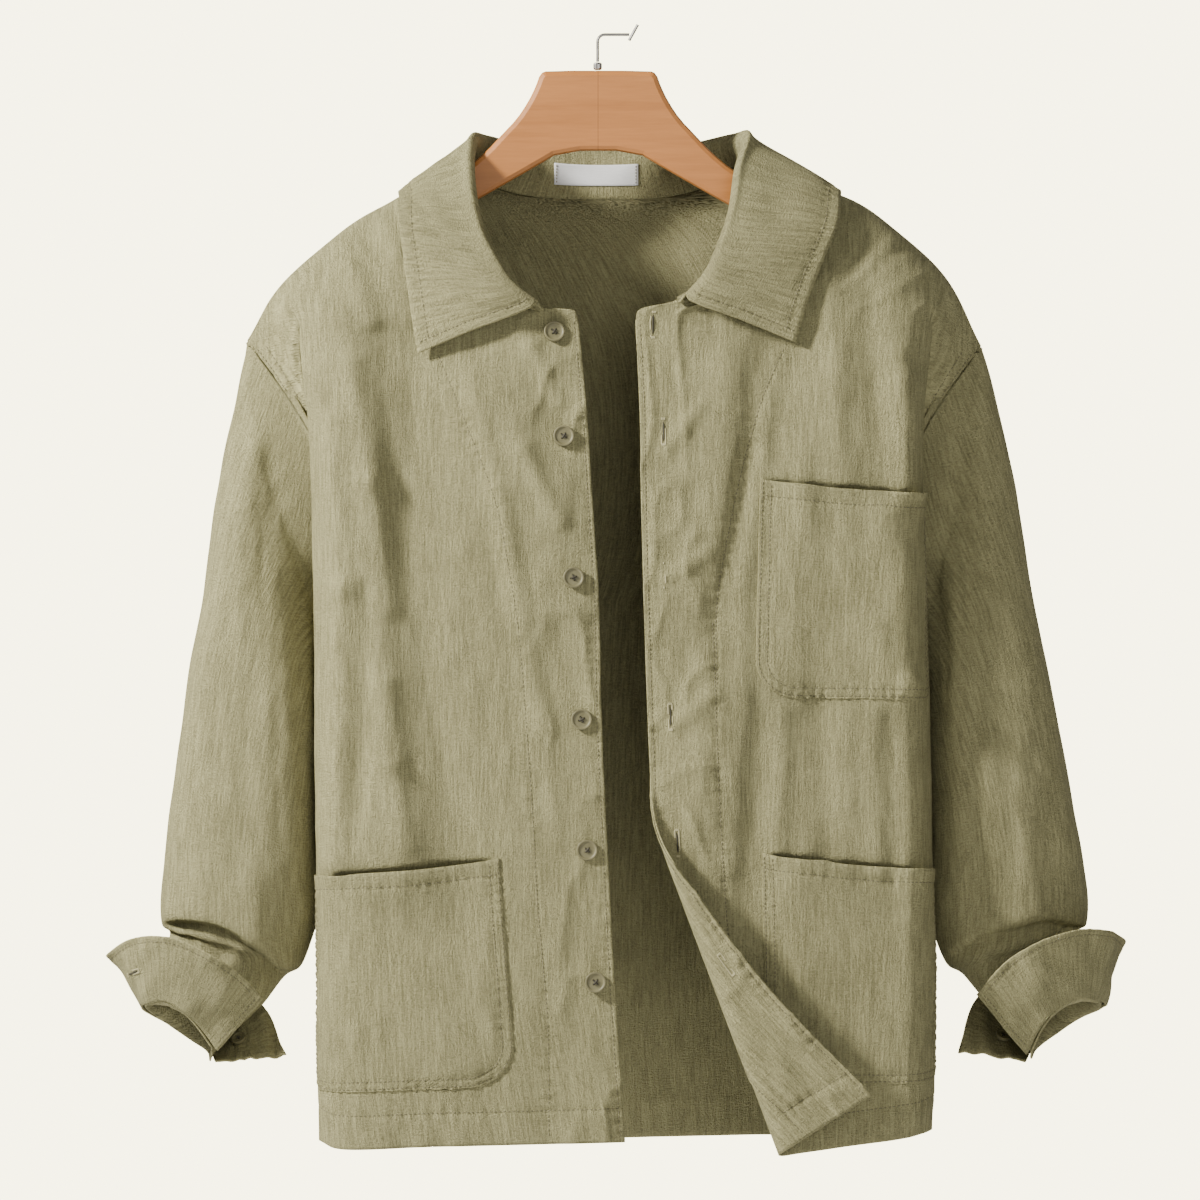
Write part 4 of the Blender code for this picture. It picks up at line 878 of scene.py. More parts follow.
def shell(name, surface, wall, material):
    """Thin closed wall of cloth: the outer face, the inner face and a rounded rim."""
    rows, columns = surface.points.shape[:2]
    outer = surface.points.reshape(-1, 3)
    normals = surface.normals.reshape(-1, 3)
    inner = outer - normals * wall
    uv = surface.grain.reshape(-1, 2)
    index = np.arange(rows * columns).reshape(rows, columns)
    right = np.roll(index, -1, axis=1) if surface.ring else index[:, 1:]
    left = index if surface.ring else index[:, :-1]
    face = np.stack([left[:-1], right[:-1], right[1:], left[1:]], axis=-1).reshape(-1, 4)
    if surface.flip:
        face = face[:, ::-1]
    count = rows * columns
    faces = [face, face[:, ::-1] + count]
    rims = [index[0], index[-1][::-1]] if surface.ring else [
        np.concatenate([index[0], index[1:, -1], index[-1, -2::-1], index[-2:0:-1, 0]])]
    vertices = [outer, inner]
    uvs = [uv, uv]
    start = 2 * count
    for rim in rims:
        if surface.flip:
            rim = rim[::-1]
        following = np.roll(rim, -1)
        before = np.roll(rim, 1)
        tangent = unit(outer[following] - outer[before])
        outward = np.cross(tangent, normals[rim])
        middle = (outer[rim] + inner[rim]) / 2 + outward * wall * RIM_SWELL
        vertices.append(middle)
        uvs.append(uv[rim])
        ring = np.arange(start, start + len(rim))
        ring_next = np.roll(ring, -1)
        faces.append(np.stack([following, rim, ring, ring_next], axis=-1))
        faces.append(np.stack([ring_next, ring, rim + count, following + count], axis=-1))
        start += len(rim)
    return new_mesh_object(name, np.concatenate(vertices), np.concatenate(faces), material,
                           np.concatenate(uvs))


def stitch_row(line, normals, length=2.6, gap=0.7, thick=1.0):
    """Vertices and faces of a row of stitches along a line."""
    lengths = lengths_along(line)
    pitch = length + gap
    count = int((lengths[-1] - gap) // pitch)
    if count < 1:
        return np.zeros((0, 3)), np.zeros((0, 3), int)
    start = (lengths[-1] - count * pitch) / 2 + gap / 2
    vertices = []
    for share in (0.0, 0.22, 0.78, 1.0):
        at = start + np.arange(count) * pitch + length * share
        centre, normal, tangent = (
            np.stack([np.interp(at, lengths, column) for column in values.T], axis=-1)
            for values in (line, normals, np.gradient(line, axis=0)))
        normal = unit(normal)
        side = unit(np.cross(normal, tangent))
        if share in (0.0, 1.0):
            vertices.append((centre - normal * 0.15)[:, None])
            continue
        centre = centre + normal * (0.02 + STITCH_RISE * thick * 0.5)
        rise = normal * STITCH_RISE * thick
        across = side * STITCH_ACROSS * thick
        vertices.append(np.stack([centre + across, centre + rise, centre - across, centre - rise], axis=1))
    block = np.concatenate(vertices, axis=1)
    pattern = []
    for k in range(4):
        n = (k + 1) % 4
        pattern += [(0, 1 + n, 1 + k), (1 + k, 1 + n, 5 + n), (1 + k, 5 + n, 5 + k), (5 + k, 5 + n, 9)]
    pattern = np.array(pattern)
    faces = (np.arange(count) * 10)[:, None, None] + pattern[None]
    return block.reshape(-1, 3), faces.reshape(-1, 3)


class Thread:
    """All stitches of one piece, gathered into one mesh."""

    def __init__(self):
        self.vertices = []
        self.faces = []
        self.count = 0

    def sew(self, line, normals, **size):
        vertices, faces = stitch_row(line, normals, **size)
        self.vertices.append(vertices)
        self.faces.append(faces + self.count)
        self.count += len(vertices)

    def finish(self, name, material):
        made = new_mesh_object(name, np.concatenate(self.vertices), np.concatenate(self.faces), material)
        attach(made, BODY)
        return made


# ---- lines of sewing
def line_at(surface, edge, distance, low=0.0, high=1.0, count=240):
    """Shares of a line that keeps its distance from one edge of a piece."""
    beside = edge in ("start", "end")
    lengths = surface.u if beside else surface.v.T
    run = np.linspace(low, high, count)
    keys = np.linspace(0.0, 1.0, len(lengths))
    even = np.linspace(0.0, 1.0, lengths.shape[1])
    rows = np.stack([np.interp(run, keys, column) for column in lengths.T], axis=1)
    from_first = edge in ("start", "bottom")
    inset = np.array([np.interp(distance if from_first else row[-1] - distance, row, even) for row in rows])
    return (inset, run) if beside else (run, inset)


def traced(surface, places):
    """Shares of a line drawn through places x, z, as seen from the front."""
    places = np.array(places, float)
    keys = lengths_along(places)
    found = spline(keys, np.column_stack(surface.find(*places.T)), np.linspace(0.0, keys[-1], 160))
    return found[:, 0], found[:, 1]


def sew(thread, surface, line, **size):
    s, t = line
    thread.sew(surface.at(s, t), surface.normal_at(s, t), **size)


def press_seams(surface, lines, seed, **size):
    """Sink the rows of stitches into the cloth and pucker it beside them."""
    height = np.zeros(surface.points.shape[:2])
    for number, (s, t) in enumerate(lines):
        height += seam_relief(surface, surface.at(s, t), seed + number, **size)
    surface.raise_by(height)


# ---- shader recipes
class Shade:
    """One value of a material, so that its maths reads as an expression."""

    def __init__(self, board, socket):
        self.board = board
        self.socket = socket

    def combined(self, operation, first, second):
        return self.board.node("ShaderNodeMath", dict(operation=operation), {0: first, 1: second})

    def __add__(self, other):
        return self.combined("ADD", self, other)

    __radd__ = __add__

    def __sub__(self, other):
        return self.combined("SUBTRACT", self, other)

    def __mul__(self, other):
        return self.combined("MULTIPLY", self, other)

    def sine(self):
        return self.combined("SINE", self, 0.0)

    def size(self):
        return self.combined("ABSOLUTE", self, 0.0)

    def below(self, limit):
        return self.combined("LESS_THAN", self, limit)

    def held(self, low, high):
        return self.combined("MINIMUM", self.combined("MAXIMUM", self, low), high)


class Board:
    """A material under the brush."""

    def __init__(self, name):
        self.material = bpy.data.materials.new(name)
        self.material.use_nodes = True
        self.tree = self.material.node_tree
        self.shader = self.tree.nodes["Principled BSDF"]

    def node(self, kind, settings=None, sockets=None, out=0):
        made = self.tree.nodes.new(kind)
        for setting, value in (settings or {}).items():
            setattr(made, setting, value)
        self.fill(made, sockets or {})
        return Shade(self, made.outputs[out])

    def fill(self, made, sockets):
        for key, value in sockets.items():
            if isinstance(value, Shade):
                self.tree.links.new(value.socket, made.inputs[key])
            else:
                made.inputs[key].default_value = value

    def place(self):
        """Place on the object."""
        return self.node("ShaderNodeTexCoord", out=3)

    def cloth(self):
        """Place on the cut cloth."""
        return self.node("ShaderNodeUVMap", dict(uv_map="cloth"))

    def part_of(self, vector, axis):
        return self.node("ShaderNodeSeparateXYZ", None, {0: vector}, out=axis)

    def mix(self, share, first, second):
        ends = {6: first, 7: second}
        ends = {key: end if isinstance(end, Shade) else (*end, 1.0) for key, end in ends.items()}
        return self.node("ShaderNodeMix", dict(data_type="RGBA"), {0: share, **ends}, out=2)

    def noise(self, place, scale, detail=2.0, roughness=0.5):
        return self.node("ShaderNodeTexNoise", None,
                         {"Vector": place, "Scale": scale, "Detail": detail, "Roughness": roughness})

    def fibres(self, place, scale, detail=2.0, roughness=0.5):
        """Noise at a scale of its own along each axis."""
        stretched = self.node("ShaderNodeMapping", None, {"Vector": place, "Scale": scale})
        return self.noise(stretched, 1.0, detail, roughness)

    def finish(self, colour, roughness, bumps=(), **plain):
        self.fill(self.shader, {"Base Color": colour, "Roughness": roughness})
        for name, value in plain.items():
            self.shader.inputs[name.replace("_", " ")].default_value = value
        normal = None
        for height, depth, strength in bumps:
            sockets = {"Height": height, "Distance": depth, "Strength": strength}
            if normal:
                sockets["Normal"] = normal
            normal = self.node("ShaderNodeBump", None, sockets)
        if normal:
            self.fill(self.shader, {"Normal": normal})
        return self.material


def linen_finish():
    """Washed linen: slubs along both threads, a plain weave and slightly uneven dye."""
    board = Board("linen")
    cloth = board.cloth()
    warp = board.fibres(cloth, (1000.0, 160.0, 1.0), 2.0, 0.6)
    weft = board.fibres(cloth, (170.0, 1000.0, 1.0), 2.0, 0.6)
    slub = board.fibres(cloth, (620.0, 34.0, 1.0))
    knot = board.noise(cloth, 760.0, 3.0, 0.65)
    cloud = board.noise(cloth, 18.0, 3.0, 0.6)
    weave = (board.part_of(cloth, 0) * THREADS).sine() * (board.part_of(cloth, 1) * THREADS).sine()
    thread = warp * 0.30 + weft * 0.20 + knot * 0.50
    light = (thread - 0.5) * 3.9 + (slub - 0.5) * 2.1 + (cloud - 0.5) * 0.8 + 0.5
    colour = board.mix(light.held(0.0, 1.0), LINEN_DARK, LINEN_LIGHT)
    roughness = 0.88 + (thread - 0.5) * 0.2
    return board.finish(colour, roughness, [(thread, THREAD_DEPTH, 1.0), (weave, WEAVE_DEPTH, 0.6)],
                        Specular_IOR_Level=0.25)


def thread_finish(name, colour):
    board = Board(name)
    twist = board.fibres(board.place(), (900.0, 900.0, 900.0))
    dark = [channel * 0.75 for channel in colour]
    return board.finish(board.mix(twist, dark, colour), 0.7, [(twist, 0.0001, 0.4)])


def wood_finish():
    """Plain beech with fine long grain, and a dark line where its halves are glued."""
    board = Board("hanger wood")
    place = board.place()
    grain = board.fibres(place, (12.0, 120.0, 190.0), 4.0, 0.6)
    fleck = board.fibres(place, (70.0, 900.0, 900.0))
    mixed = grain * 0.75 + fleck * 0.25
    wood = board.mix((mixed - 0.5) * 1.8 + 0.5, (0.370, 0.137, 0.029), (0.520, 0.205, 0.051))
    joint = (board.part_of(place, 0) - HANGER_JOINT * MM).size().below(HANGER_JOINT_HALF * MM)
    colour = board.mix(joint * 0.6, wood, (0.10, 0.035, 0.010))
    return board.finish(colour, 0.42 + (mixed - 0.5) * 0.3, [(mixed, 0.0002, 0.3)])


def steel_finish():
    board = Board("hook steel")
    haze = board.noise(board.place(), 260.0, 3.0)
    colour = board.mix(haze, (0.30, 0.29, 0.27), (0.48, 0.46, 0.43))
    return board.finish(colour, 0.24 + haze * 0.2, [(haze, 0.00003, 0.3)], Metallic=1.0)


def button_finish():
    """Resin in the cloth's colour, faintly marbled."""
    board = Board("button resin")
    marble = board.noise(board.place(), 190.0, 4.0, 0.6)
    colour = board.mix((marble - 0.5) * 1.6 + 0.5, (0.120, 0.108, 0.052), (0.205, 0.186, 0.096))
    return board.finish(colour, 0.46 + (marble - 0.5) * 0.2, [(marble, 0.00005, 0.3)], Specular_IOR_Level=0.3)


def label_finish():
    """Bare woven tape."""
    board = Board("label tape")
    ribs = board.fibres(board.cloth(), (200.0, 2400.0, 1.0))
    return board.finish(board.mix(ribs, (0.60, 0.60, 0.58), (0.80, 0.80, 0.78)), 0.8, [(ribs, 0.0002, 0.6)])


def floor_finish():
    board = Board("floor paper")
    fibre = board.noise(board.place(), 60.0, 3.0)
    return board.finish(board.mix(fibre, [0.78] * 3, [0.82] * 3), 0.9)


# ---- the cloth
def surface_area(surface):
    points = surface.points
    if surface.ring:
        points = np.concatenate([points, points[:, :1]], axis=1)
    first = np.cross(points[1:, :-1] - points[:-1, :-1], points[:-1, 1:] - points[:-1, :-1])
    second = np.cross(points[:-1, 1:] - points[1:, 1:], points[1:, :-1] - points[1:, 1:])
    return float(np.linalg.norm(first, axis=2).sum() + np.linalg.norm(second, axis=2).sum()) / 2


def declare(obj, surface, node):
    """Attach a piece of cloth to the body and hide the part node that it stands for; its area and width are
    worked out but not used.
    """
    area = surface_area(surface)
    width = float(surface.u[:, -1].max())
    if surface.ring:
        width += float(np.linalg.norm(surface.points[:, 0] - surface.points[:, -1], axis=1).max())
    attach(obj, BODY)
    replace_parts(obj, node)


def sew_up(name, surface, lines, wall, looks, carried_by, shown=None):
    linen, thread_and_shade_material = looks
    thread = Thread()
    for line in lines:
        sew(thread, surface, line)
    stitches = thread.finish("stitching_" + name, thread_and_shade_material)
    obj = shell("cloth_" + name, shown or surface, wall, linen)
    declare(obj, surface, name)


def named(kind, side):
    return kind + ("_left" if side > 0 else "_right")


def even_shares(kind):
    """Even shares along the columns and the rows of a piece's grid."""
    return [np.linspace(0.0, 1.0, count) for count in GRID[kind]]


def patches(kind, u, v, shift=0):
    """Uneven relief of one kind of piece."""
    return sum(patchy(u, v, width, length, seed + shift) * height
               for width, length, seed, height in RELIEF[kind])


def side_lines(surface, edge):
    """Rows of stitches beside the side seam, then the two beside the armhole above it."""
    inner, outer = ARMHOLE_ROWS
    return [line_at(surface, edge, SIDE_ROW, 0.01, 0.54), line_at(surface, edge, inner, 0.56, 0.985),
            line_at(surface, edge, outer, 0.56, 0.97)]


def build_front(side, looks):
    """One front panel: its folds, its sewn lines and its stitches."""
    across, heights = even_shares("front")
    surface = Surface([front_row(side, across, height) for height in heights], flip=side < 0)
    crest = smooth((1.0 - heights) * CREST_FADE)[:, None]
    surface.hang_grain()
    surface.raise_by(creases(surface, FRONT_CREASES[side]))
    u, v = surface.u, surface.v
    band = smooth((FACING_WIDTH - u) / CRUMPLE_FADE)
    width, length, seed = CRUMPLE
    sharp = crumple(u, v, width, length, seed + side) * (CRUMPLE_LEAST + (1.0 - CRUMPLE_LEAST) * band)
    surface.raise_by(patches("front", u, v, side) * crest)
    surface.raise_by(sharp * CRUMPLE_HEIGHT * crest)
    surface.raise_by(patches("front_hem", u, v, side) * smooth((HEM_RIPPLE - v) / HEM_RIPPLE_FADE))
    side_line, *armhole_lines = side_lines(surface, "end")
    lines = [line_at(surface, "bottom", HEM, 0.004, 0.996), line_at(surface, "start", EDGE_ROW, 0.003, 0.84),
             *armhole_lines, side_line, traced(surface, FACING_STITCH[side])]
    if side > 0:
        lines.append(line_at(surface, "start", FACING_WIDTH, 0.004, 0.53))
    press_seams(surface, lines, 30 + 10 * side)
    if side > 0:
        surface.points = curl(surface.points)
        surface.find_normals()
    hollowed = Surface(surface.points, flip=surface.flip)
    hollowed.grain = surface.grain
    for pocket in POCKETS.values():
        if pocket["side"] == side:
            hollowed.raise_by(-mouth_hollow(surface, pocket))
    sew_up(named("front", side), surface, lines, CLOTH, looks, "hanger", hollowed)
    return surface


def smooth_front(side):
    """A front without its fine relief, on which the pockets find their places."""
    across, heights = even_shares("smooth_front")
    return Surface([front_row(side, across, height) for height in heights], flip=side < 0)


def build_back(looks):
    across, heights = even_shares("back")
    surface = Surface([back_row(across, height) for height in heights], flip=True)
    surface.hang_grain()
    surface.raise_by(creases(surface, BACK_CREASES, facing=1.0))
    surface.raise_by(patches("back", surface.u, surface.v) * smooth((1.0 - heights) * CREST_FADE)[:, None])
    lines = [line_at(surface, "bottom", HEM, 0.004, 0.996), *side_lines(surface, "start"),
             *side_lines(surface, "end")]
    press_seams(surface, lines, 60)
    sew_up("back", surface, lines, CLOTH, looks, "hanger")


def tucked_rings(around, first, second):
    """Rings of a sleeve's seam allowance, which lies under the body's armhole."""
    back_up = unit(first - second)
    inward = first.mean(axis=0) - first
    inward = unit(inward - back_up * np.sum(inward * back_up, axis=1)[:, None])
    under = first + back_up * TUCK_UP + inward * TUCK_IN
    share = (1.0 - np.cos(2 * np.pi * around)) / 2
    reach = TUCK_LENGTH * (TUCK_LEAST + (1.0 - TUCK_LEAST) * smooth(share * 5.0 - 0.2))[:, None]
    return [under + back_up * reach, under + back_up * 0.5 * reach, under]


def build_sleeve(side, looks):
    columns, rows = GRID["sleeve"]
    around = np.arange(columns) / columns
    downs = np.linspace(0.0, 1.0, rows)
    rings = [sleeve_ring(side, around, down) for down in downs]
    tucked = tucked_rings(around, rings[0], rings[1])
    surface = Surface([*tucked, *rings], ring=True, flip=side < 0)
    surface.run_grain(SLEEVE_AXIS[side])
    ends = np.minimum(downs, 1.0 - downs)
    fade = np.concatenate([np.zeros(len(tucked)), np.minimum(1.0, ends * SLEEVE_FADE)])[:, None]
    surface.raise_by(creases(surface, SLEEVE_CREASES[side]) * fade)
    surface.raise_by(rolled_lip(surface, SLEEVE_LIPS[side]))
    girth = (1.0 - np.cos(2 * np.pi * around))[None, :] * SLEEVE_HALF_GIRTH + np.zeros_like(surface.v)
    surface.raise_by(patches("sleeve", girth, surface.v, side) * fade)
    name = named("sleeve", side)
    declare(shell("cloth_" + name, surface, CLOTH, looks[0]), surface, name)


def build_cuff(side, looks):
    table = CUFF[side]
    columns, rows = GRID["cuff"]
    stations = np.linspace(0.0, len(table) - 1, columns)
    last, first = (spline(range(len(table)), [row[k] for row in table], stations) for k in (0, 1))
    surface = Surface([first + (last - first) * share for share in np.linspace(0.0, 1.0, rows)],
                      flip=side < 0)
    surface.lay_grain()
    u, v = surface.u, surface.v
    surface.raise_by(rumple(u, v, 40.0, 81 + side) * 0.9 + patches("cuff", u, v, side))
    lines = [line_at(surface, "top", CUFF_ROW, 0.03, 0.97), line_at(surface, "start", CUFF_ROW, 0.05, 0.95),
             line_at(surface, "end", CUFF_ROW, 0.05, 0.95)]
    press_seams(surface, lines, 90 + 5 * side, reach=4.5, pitch=7.0)
    sew_up(named("cuff", side), surface, lines, DOUBLE_CLOTH, looks, named("cloth_sleeve", side))
    return surface


def build_collar(looks):
    long, wide = GRID["collar"]
    shares = np.linspace(0.0, 1.0, wide)
    surface = Surface([collar_line(station, shares) for station in np.linspace(LAST_STATION, 0.0, long)])
    surface.lay_grain()
    surface.grain = surface.grain[..., ::-1]
    surface.raise_by(patches("collar", surface.u, surface.v))
    lines = [line_at(surface, "end", COLLAR_ROW, 0.01, 0.99),
             line_at(surface, "bottom", COLLAR_END_ROW, 0.45, 0.99),
             line_at(surface, "top", COLLAR_END_ROW, 0.45, 0.99)]
    press_seams(surface, lines, 110, reach=5.0, pucker=1.0, pitch=6.6)
    sew_up("collar", surface, lines, DOUBLE_CLOTH, looks, "cloth_back")
    return surface


def build_facing(front, looks):
    """The left front's facing, seen where the corner is turned out."""
    s, t = np.meshgrid(*(np.linspace(0.0, share, count)
                         for share, count in zip(FACING_SHARES, GRID["facing"])))
    surface = Surface(front.at(s, t) - front.normal_at(s, t) * (CLOTH + FACING_GAP + FACING_CLOTH), flip=True)
    surface.lay_grain()
    lines = [line_at(surface, "start", EDGE_ROW, 0.01, 0.97), line_at(surface, "end", FACING_ROW, 0.01, 0.97),
             line_at(surface, "bottom", HEM, 0.02, 0.98)]
    press_seams(surface, lines, 130, reach=4.5, pucker=0.25)
    sew_up("facing_left", surface, lines, FACING_CLOTH, looks, "cloth_front_left")
    return surface


def corner_inset(radius, rise):
    below = np.maximum(0.0, radius - rise)
    return radius - np.sqrt(radius ** 2 - below ** 2)


class Pocket:
    """Patch pocket laid on a front: places in millimetres on its own cut."""

    def __init__(self, size, front, base):
        self.size = size
        self.front = front
        self.corners = {}
        for corner in ("inner_foot", "outer_foot", "inner_mouth", "outer_mouth"):
            x, z = size[corner]
            s, t = base.find(np.array([x]), np.array([z]))
            self.corners[corner] = np.array([s[0], t[0]])
        self.width = abs(size["outer_foot"][0] - size["inner_foot"][0]) + SIDE_SPAN * size["wrap"]
        self.depth = size["inner_mouth"][1] - size["inner_foot"][1]

    def shares(self, run, rise):
        """Shares on the front of places at a run from the inner side and a rise from the foot."""
        wrap = np.array([self.size["wrap"], 0.0])
        part = (run / self.width)[..., None]
        up = (rise / self.depth)[..., None]
        corners = self.corners
        foot = corners["inner_foot"] + (corners["outer_foot"] + wrap - corners["inner_foot"]) * part
        mouth = corners["inner_mouth"] + (corners["outer_mouth"] + wrap - corners["inner_mouth"]) * part
        place = foot + (mouth - foot) * up
        return place[..., 0], place[..., 1]

    def runs(self, column, rise):
        near = corner_inset(self.size["corner"], rise)
        far = corner_inset(POCKET_SIDE_CORNER, rise)
        return near + (self.width - near - far) * column

    def outline(self, inset):
        """Runs and rises of the sewn line: down one side, round the foot, up the other."""
        radius = self.size["corner"] - inset
        far_radius = POCKET_SIDE_CORNER - inset
        turns = np.linspace(0.0, math.pi / 2, 14)
        corner = self.size["corner"]
        near = [(corner - radius * math.cos(a), corner - radius * math.sin(a)) for a in turns]
        far = [(self.width - POCKET_SIDE_CORNER + far_radius * math.sin(a),
                POCKET_SIDE_CORNER - far_radius * math.cos(a)) for a in turns]
        points = np.array([(inset, self.depth - 1.0), *near, *far, (self.width - inset, self.depth - 1.0)])
        keys = lengths_along(points)
        even = np.linspace(0.0, keys[-1], 320)
        return np.interp(even, keys, points[:, 0]), np.interp(even, keys, points[:, 1])


def build_pocket(name, size, front, base, looks):
    patch = Pocket(size, front, base)
    radius = size["corner"]
    across, straight = GRID["pocket"]
    rises = np.concatenate([radius * (1 - np.cos(np.linspace(0.0, math.pi / 2, 15)))[:-1],
                            np.linspace(radius, patch.depth, straight)])
    columns, rise_grid = np.meshgrid(np.linspace(0.0, 1.0, across), rises)
    run_grid = patch.runs(columns, rise_grid)
    slack = np.maximum(np.sin(math.pi * run_grid / patch.width), 0.0) ** 0.7
    height = rise_grid / patch.depth
    droop = MOUTH_SAG * slack * smooth((height - SAG_FROM) / SAG_OVER)
    s, t = patch.shares(run_grid, rise_grid - droop)
    side = np.minimum(run_grid, patch.width - run_grid)
    inside = smooth(np.minimum(side, rise_grid) / POCKET_EASE)
    mouth = np.clip((height - MOUTH_FROM) / MOUTH_OVER, 0.0, 1.0) ** 2 * smooth(side / MOUTH_SIDES)
    scallop = 1.0 + SCALLOP * np.sin(run_grid / SCALLOP_LENGTH + len(name))
    lift = POCKET_CLOTH + POCKET_GAP + POCKET_SWELL * inside + (POCKET_MOUTH_GAP + MOUTH_PLAY) * mouth * scallop
    surface = Surface(front.at(s, t, lift), flip=size["side"] < 0)
    surface.grain = np.stack([run_grid, rise_grid], axis=-1)
    surface.raise_by(patches("pocket", run_grid, rise_grid, len(name)) * inside)
    row_shares = np.linspace(0.0, 1.0, len(rises))
    lines = []
    for inset in POCKET_ROWS:
        run, rise = patch.outline(inset)
        column = (run - corner_inset(radius, rise)) / (patch.runs(1.0, rise) - patch.runs(0.0, rise))
        lines.append((np.clip(column, 0.0, 1.0), np.interp(rise, rises, row_shares)))
    hem = np.interp(patch.depth - size["hem"], rises, row_shares)
    lines.append((np.linspace(0.01, 0.99, 160), np.full(160, hem)))
    press_seams(surface, lines, 150 + len(name), reach=5.0, pitch=7.0)
    sew_up(name, surface, lines, POCKET_CLOTH, looks, named("cloth_front", size["side"]))


def build_label(collar, material, thread_and_shade_material):
    """The bare woven label under the back of the collar, sewn at its two ends."""
    columns, rows = GRID["label"]

    def row_at(x, share):
        low, high = 6.0, 10.0
        for _ in range(24):
            middle = (low + high) / 2
            if collar.at(np.array([share]), np.array([1.0 - middle / LAST_STATION]))[0][0] < x:
                low = middle
            else:
                high = middle
        return 1.0 - (low + high) / 2 / LAST_STATION

    points = []
    xs = np.linspace(*LABEL_X, columns)
    for share in np.linspace(*LABEL_SHARE, rows):
        t = np.interp(xs, xs[::8], [row_at(x, share) for x in xs[::8]])
        points.append(collar.at(np.full(columns, share), t, LABEL_LIFT))
    surface = Surface(points)
    thread = Thread()
    for edge in ("start", "end"):
        sew(thread, surface, line_at(surface, edge, LABEL_ROW, 0.03, 0.97, 30), length=1.8, gap=0.5)
    stitches = thread.finish("stitching_label", thread_and_shade_material)
    obj = shell("cloth_label", surface, LABEL_CLOTH, material)
    declare(obj, surface, "label")


# ---- buttonholes
def along_cloth(surface, s, t, way):
    """Shares per millimetre of cloth along a way, rows or columns, at a place."""
    step = np.array([0.0, 0.004] if way == "columns" else [0.004, 0.0])
    ends = [surface.at(np.array([s + sign * step[0]]), np.array([t + sign * step[1]])) for sign in (1, -1)]
    return 2 * step / np.linalg.norm(ends[0] - ends[1])


def sew_buttonhole(edging, slit, surface, s, t, way, length):
    """Close stitches on both sides of a slit, with a bar across each of its ends, and a dark strip of painted
    shade along the slit.
    """
    on = along_cloth(surface, s, t, way)
    over = along_cloth(surface, s, t, "rows" if way == "columns" else "columns")
    centre = np.array([s, t])

    def line(*places):
        shares = np.array([centre + on * run + over * aside for run, aside in places])
        sew(edging, surface, shares.T, length=HOLE_STITCH, gap=0.1, thick=1.2)

    for run in np.arange(-length / 2, length / 2 + 0.01, HOLE_PITCH):
        for side in (-1, 1):
            line((run, side * HOLE_INNER), (run, side * (HOLE_INNER + HOLE_STITCH + 0.2)))
    for end in (-length / 2 - 0.4, length / 2 + 0.4):
        for step in (-0.5, 0.0, 0.5):
            for low, high in ((-1.0, 1.0), (-1.9, -0.1), (0.1, 1.9)):
                line((end + step, low), (end + step, high))
    # The dark strip along the slit is painted shade, standing in for the shade in its opening.
    shares = centre + on * np.linspace(-length / 2, length / 2, 12)[:, None]
    sew(slit, surface, shares.T, length=length - 1.0, gap=0.2, thick=1.7)


def sew_buttonholes(front, facing, cuffs):
    edging = Thread()
    slit_shades = Thread()
    for s, t in zip(*front.find(*np.array(FRONT_HOLES, float).T)):
        sew_buttonhole(edging, slit_shades, front, s, t, "columns", FRONT_HOLE)
    others = [(facing, FACING_HOLE, "columns", FRONT_HOLE)]
    others += [(cuffs[side], CUFF_HOLES[side], "rows", CUFF_HOLE) for side in (-1, 1)]
    for surface, (x, z), way, length in others:
        s, t = surface.find(x, z, (0.0, 1.0))
        sew_buttonhole(edging, slit_shades, surface, s[0], t[0], way, length)
    edging.finish("buttonhole_stitches", thread_finish("buttonhole thread", (0.46, 0.42, 0.23)))
    slit_shades.finish("buttonhole_slits", thread_finish("slit shade", SLIT_SHADE))


# ---- buttons
def set_mode(mode):
    bpy.ops.object.mode_set(mode=mode)


def select_none():
    for other in list(bpy.context.selected_objects):
        other.select_set(False)


def select_only(obj):
    select_none()
    obj.select_set(True)
    bpy.context.view_layer.objects.active = obj


def apply_modifier(obj, kind, **settings):
    modifier = obj.modifiers.new(kind.title(), kind)
    for key, value in settings.items():
        setattr(modifier, key, value)
    select_only(obj)
    bpy.ops.object.modifier_apply(modifier=modifier.name)


def edit_faces(obj, chosen):
    """Go into edit mode with the faces selected whose centre passes a test."""
    select_only(obj)
    set_mode("EDIT")
    bpy.ops.mesh.select_mode(type="FACE")
    bpy.ops.mesh.select_all(action="DESELECT")
    set_mode("OBJECT")
    for face in obj.data.polygons:
        face.select = chosen(face)
    set_mode("EDIT")


def press_faces(obj, chosen, *steps):
    """Inset chosen faces and move them up, once for each step."""
    edit_faces(obj, chosen)
    for inset, rise in steps:
        bpy.ops.mesh.inset(thickness=inset * MM)
        if rise:
            bpy.ops.transform.translate(value=(0.0, 0.0, rise * MM))
    set_mode("OBJECT")


def model_button(radius):
    """Resin button lying flat: raised rim, dished middle and four holes."""
    bpy.ops.mesh.primitive_cylinder_add(vertices=72, radius=radius * MM, depth=BUTTON_HEIGHT * MM)
    button = bpy.context.object
    press_faces(button, lambda face: face.normal.z > 0.9, (BUTTON_RIM, 0.0), (0.5, -BUTTON_SINK),
                (0.22 * radius, -0.15))
    press_faces(button, lambda face: face.normal.z < -0.9, (0.25 * radius, 0.3))
    apply_modifier(button, "BEVEL", width=BUTTON_EDGE * MM, segments=4, limit_method="ANGLE",
                   angle_limit=math.radians(25))
    apart = HOLE_APART * radius
    for x, y in ((1, 1), (1, -1), (-1, 1), (-1, -1)):
        bpy.ops.mesh.primitive_cylinder_add(vertices=20, radius=HOLE_SIZE * radius * MM, depth=9.0 * MM,
                                            location=(x * apart * MM, y * apart * MM, 0.0))
        drill = bpy.context.object
        apply_modifier(button, "BOOLEAN", object=drill, operation="DIFFERENCE", solver="EXACT")
        bpy.data.objects.remove(drill)
    select_only(button)
    bpy.ops.object.shade_smooth_by_angle(angle=math.radians(35))
    return button


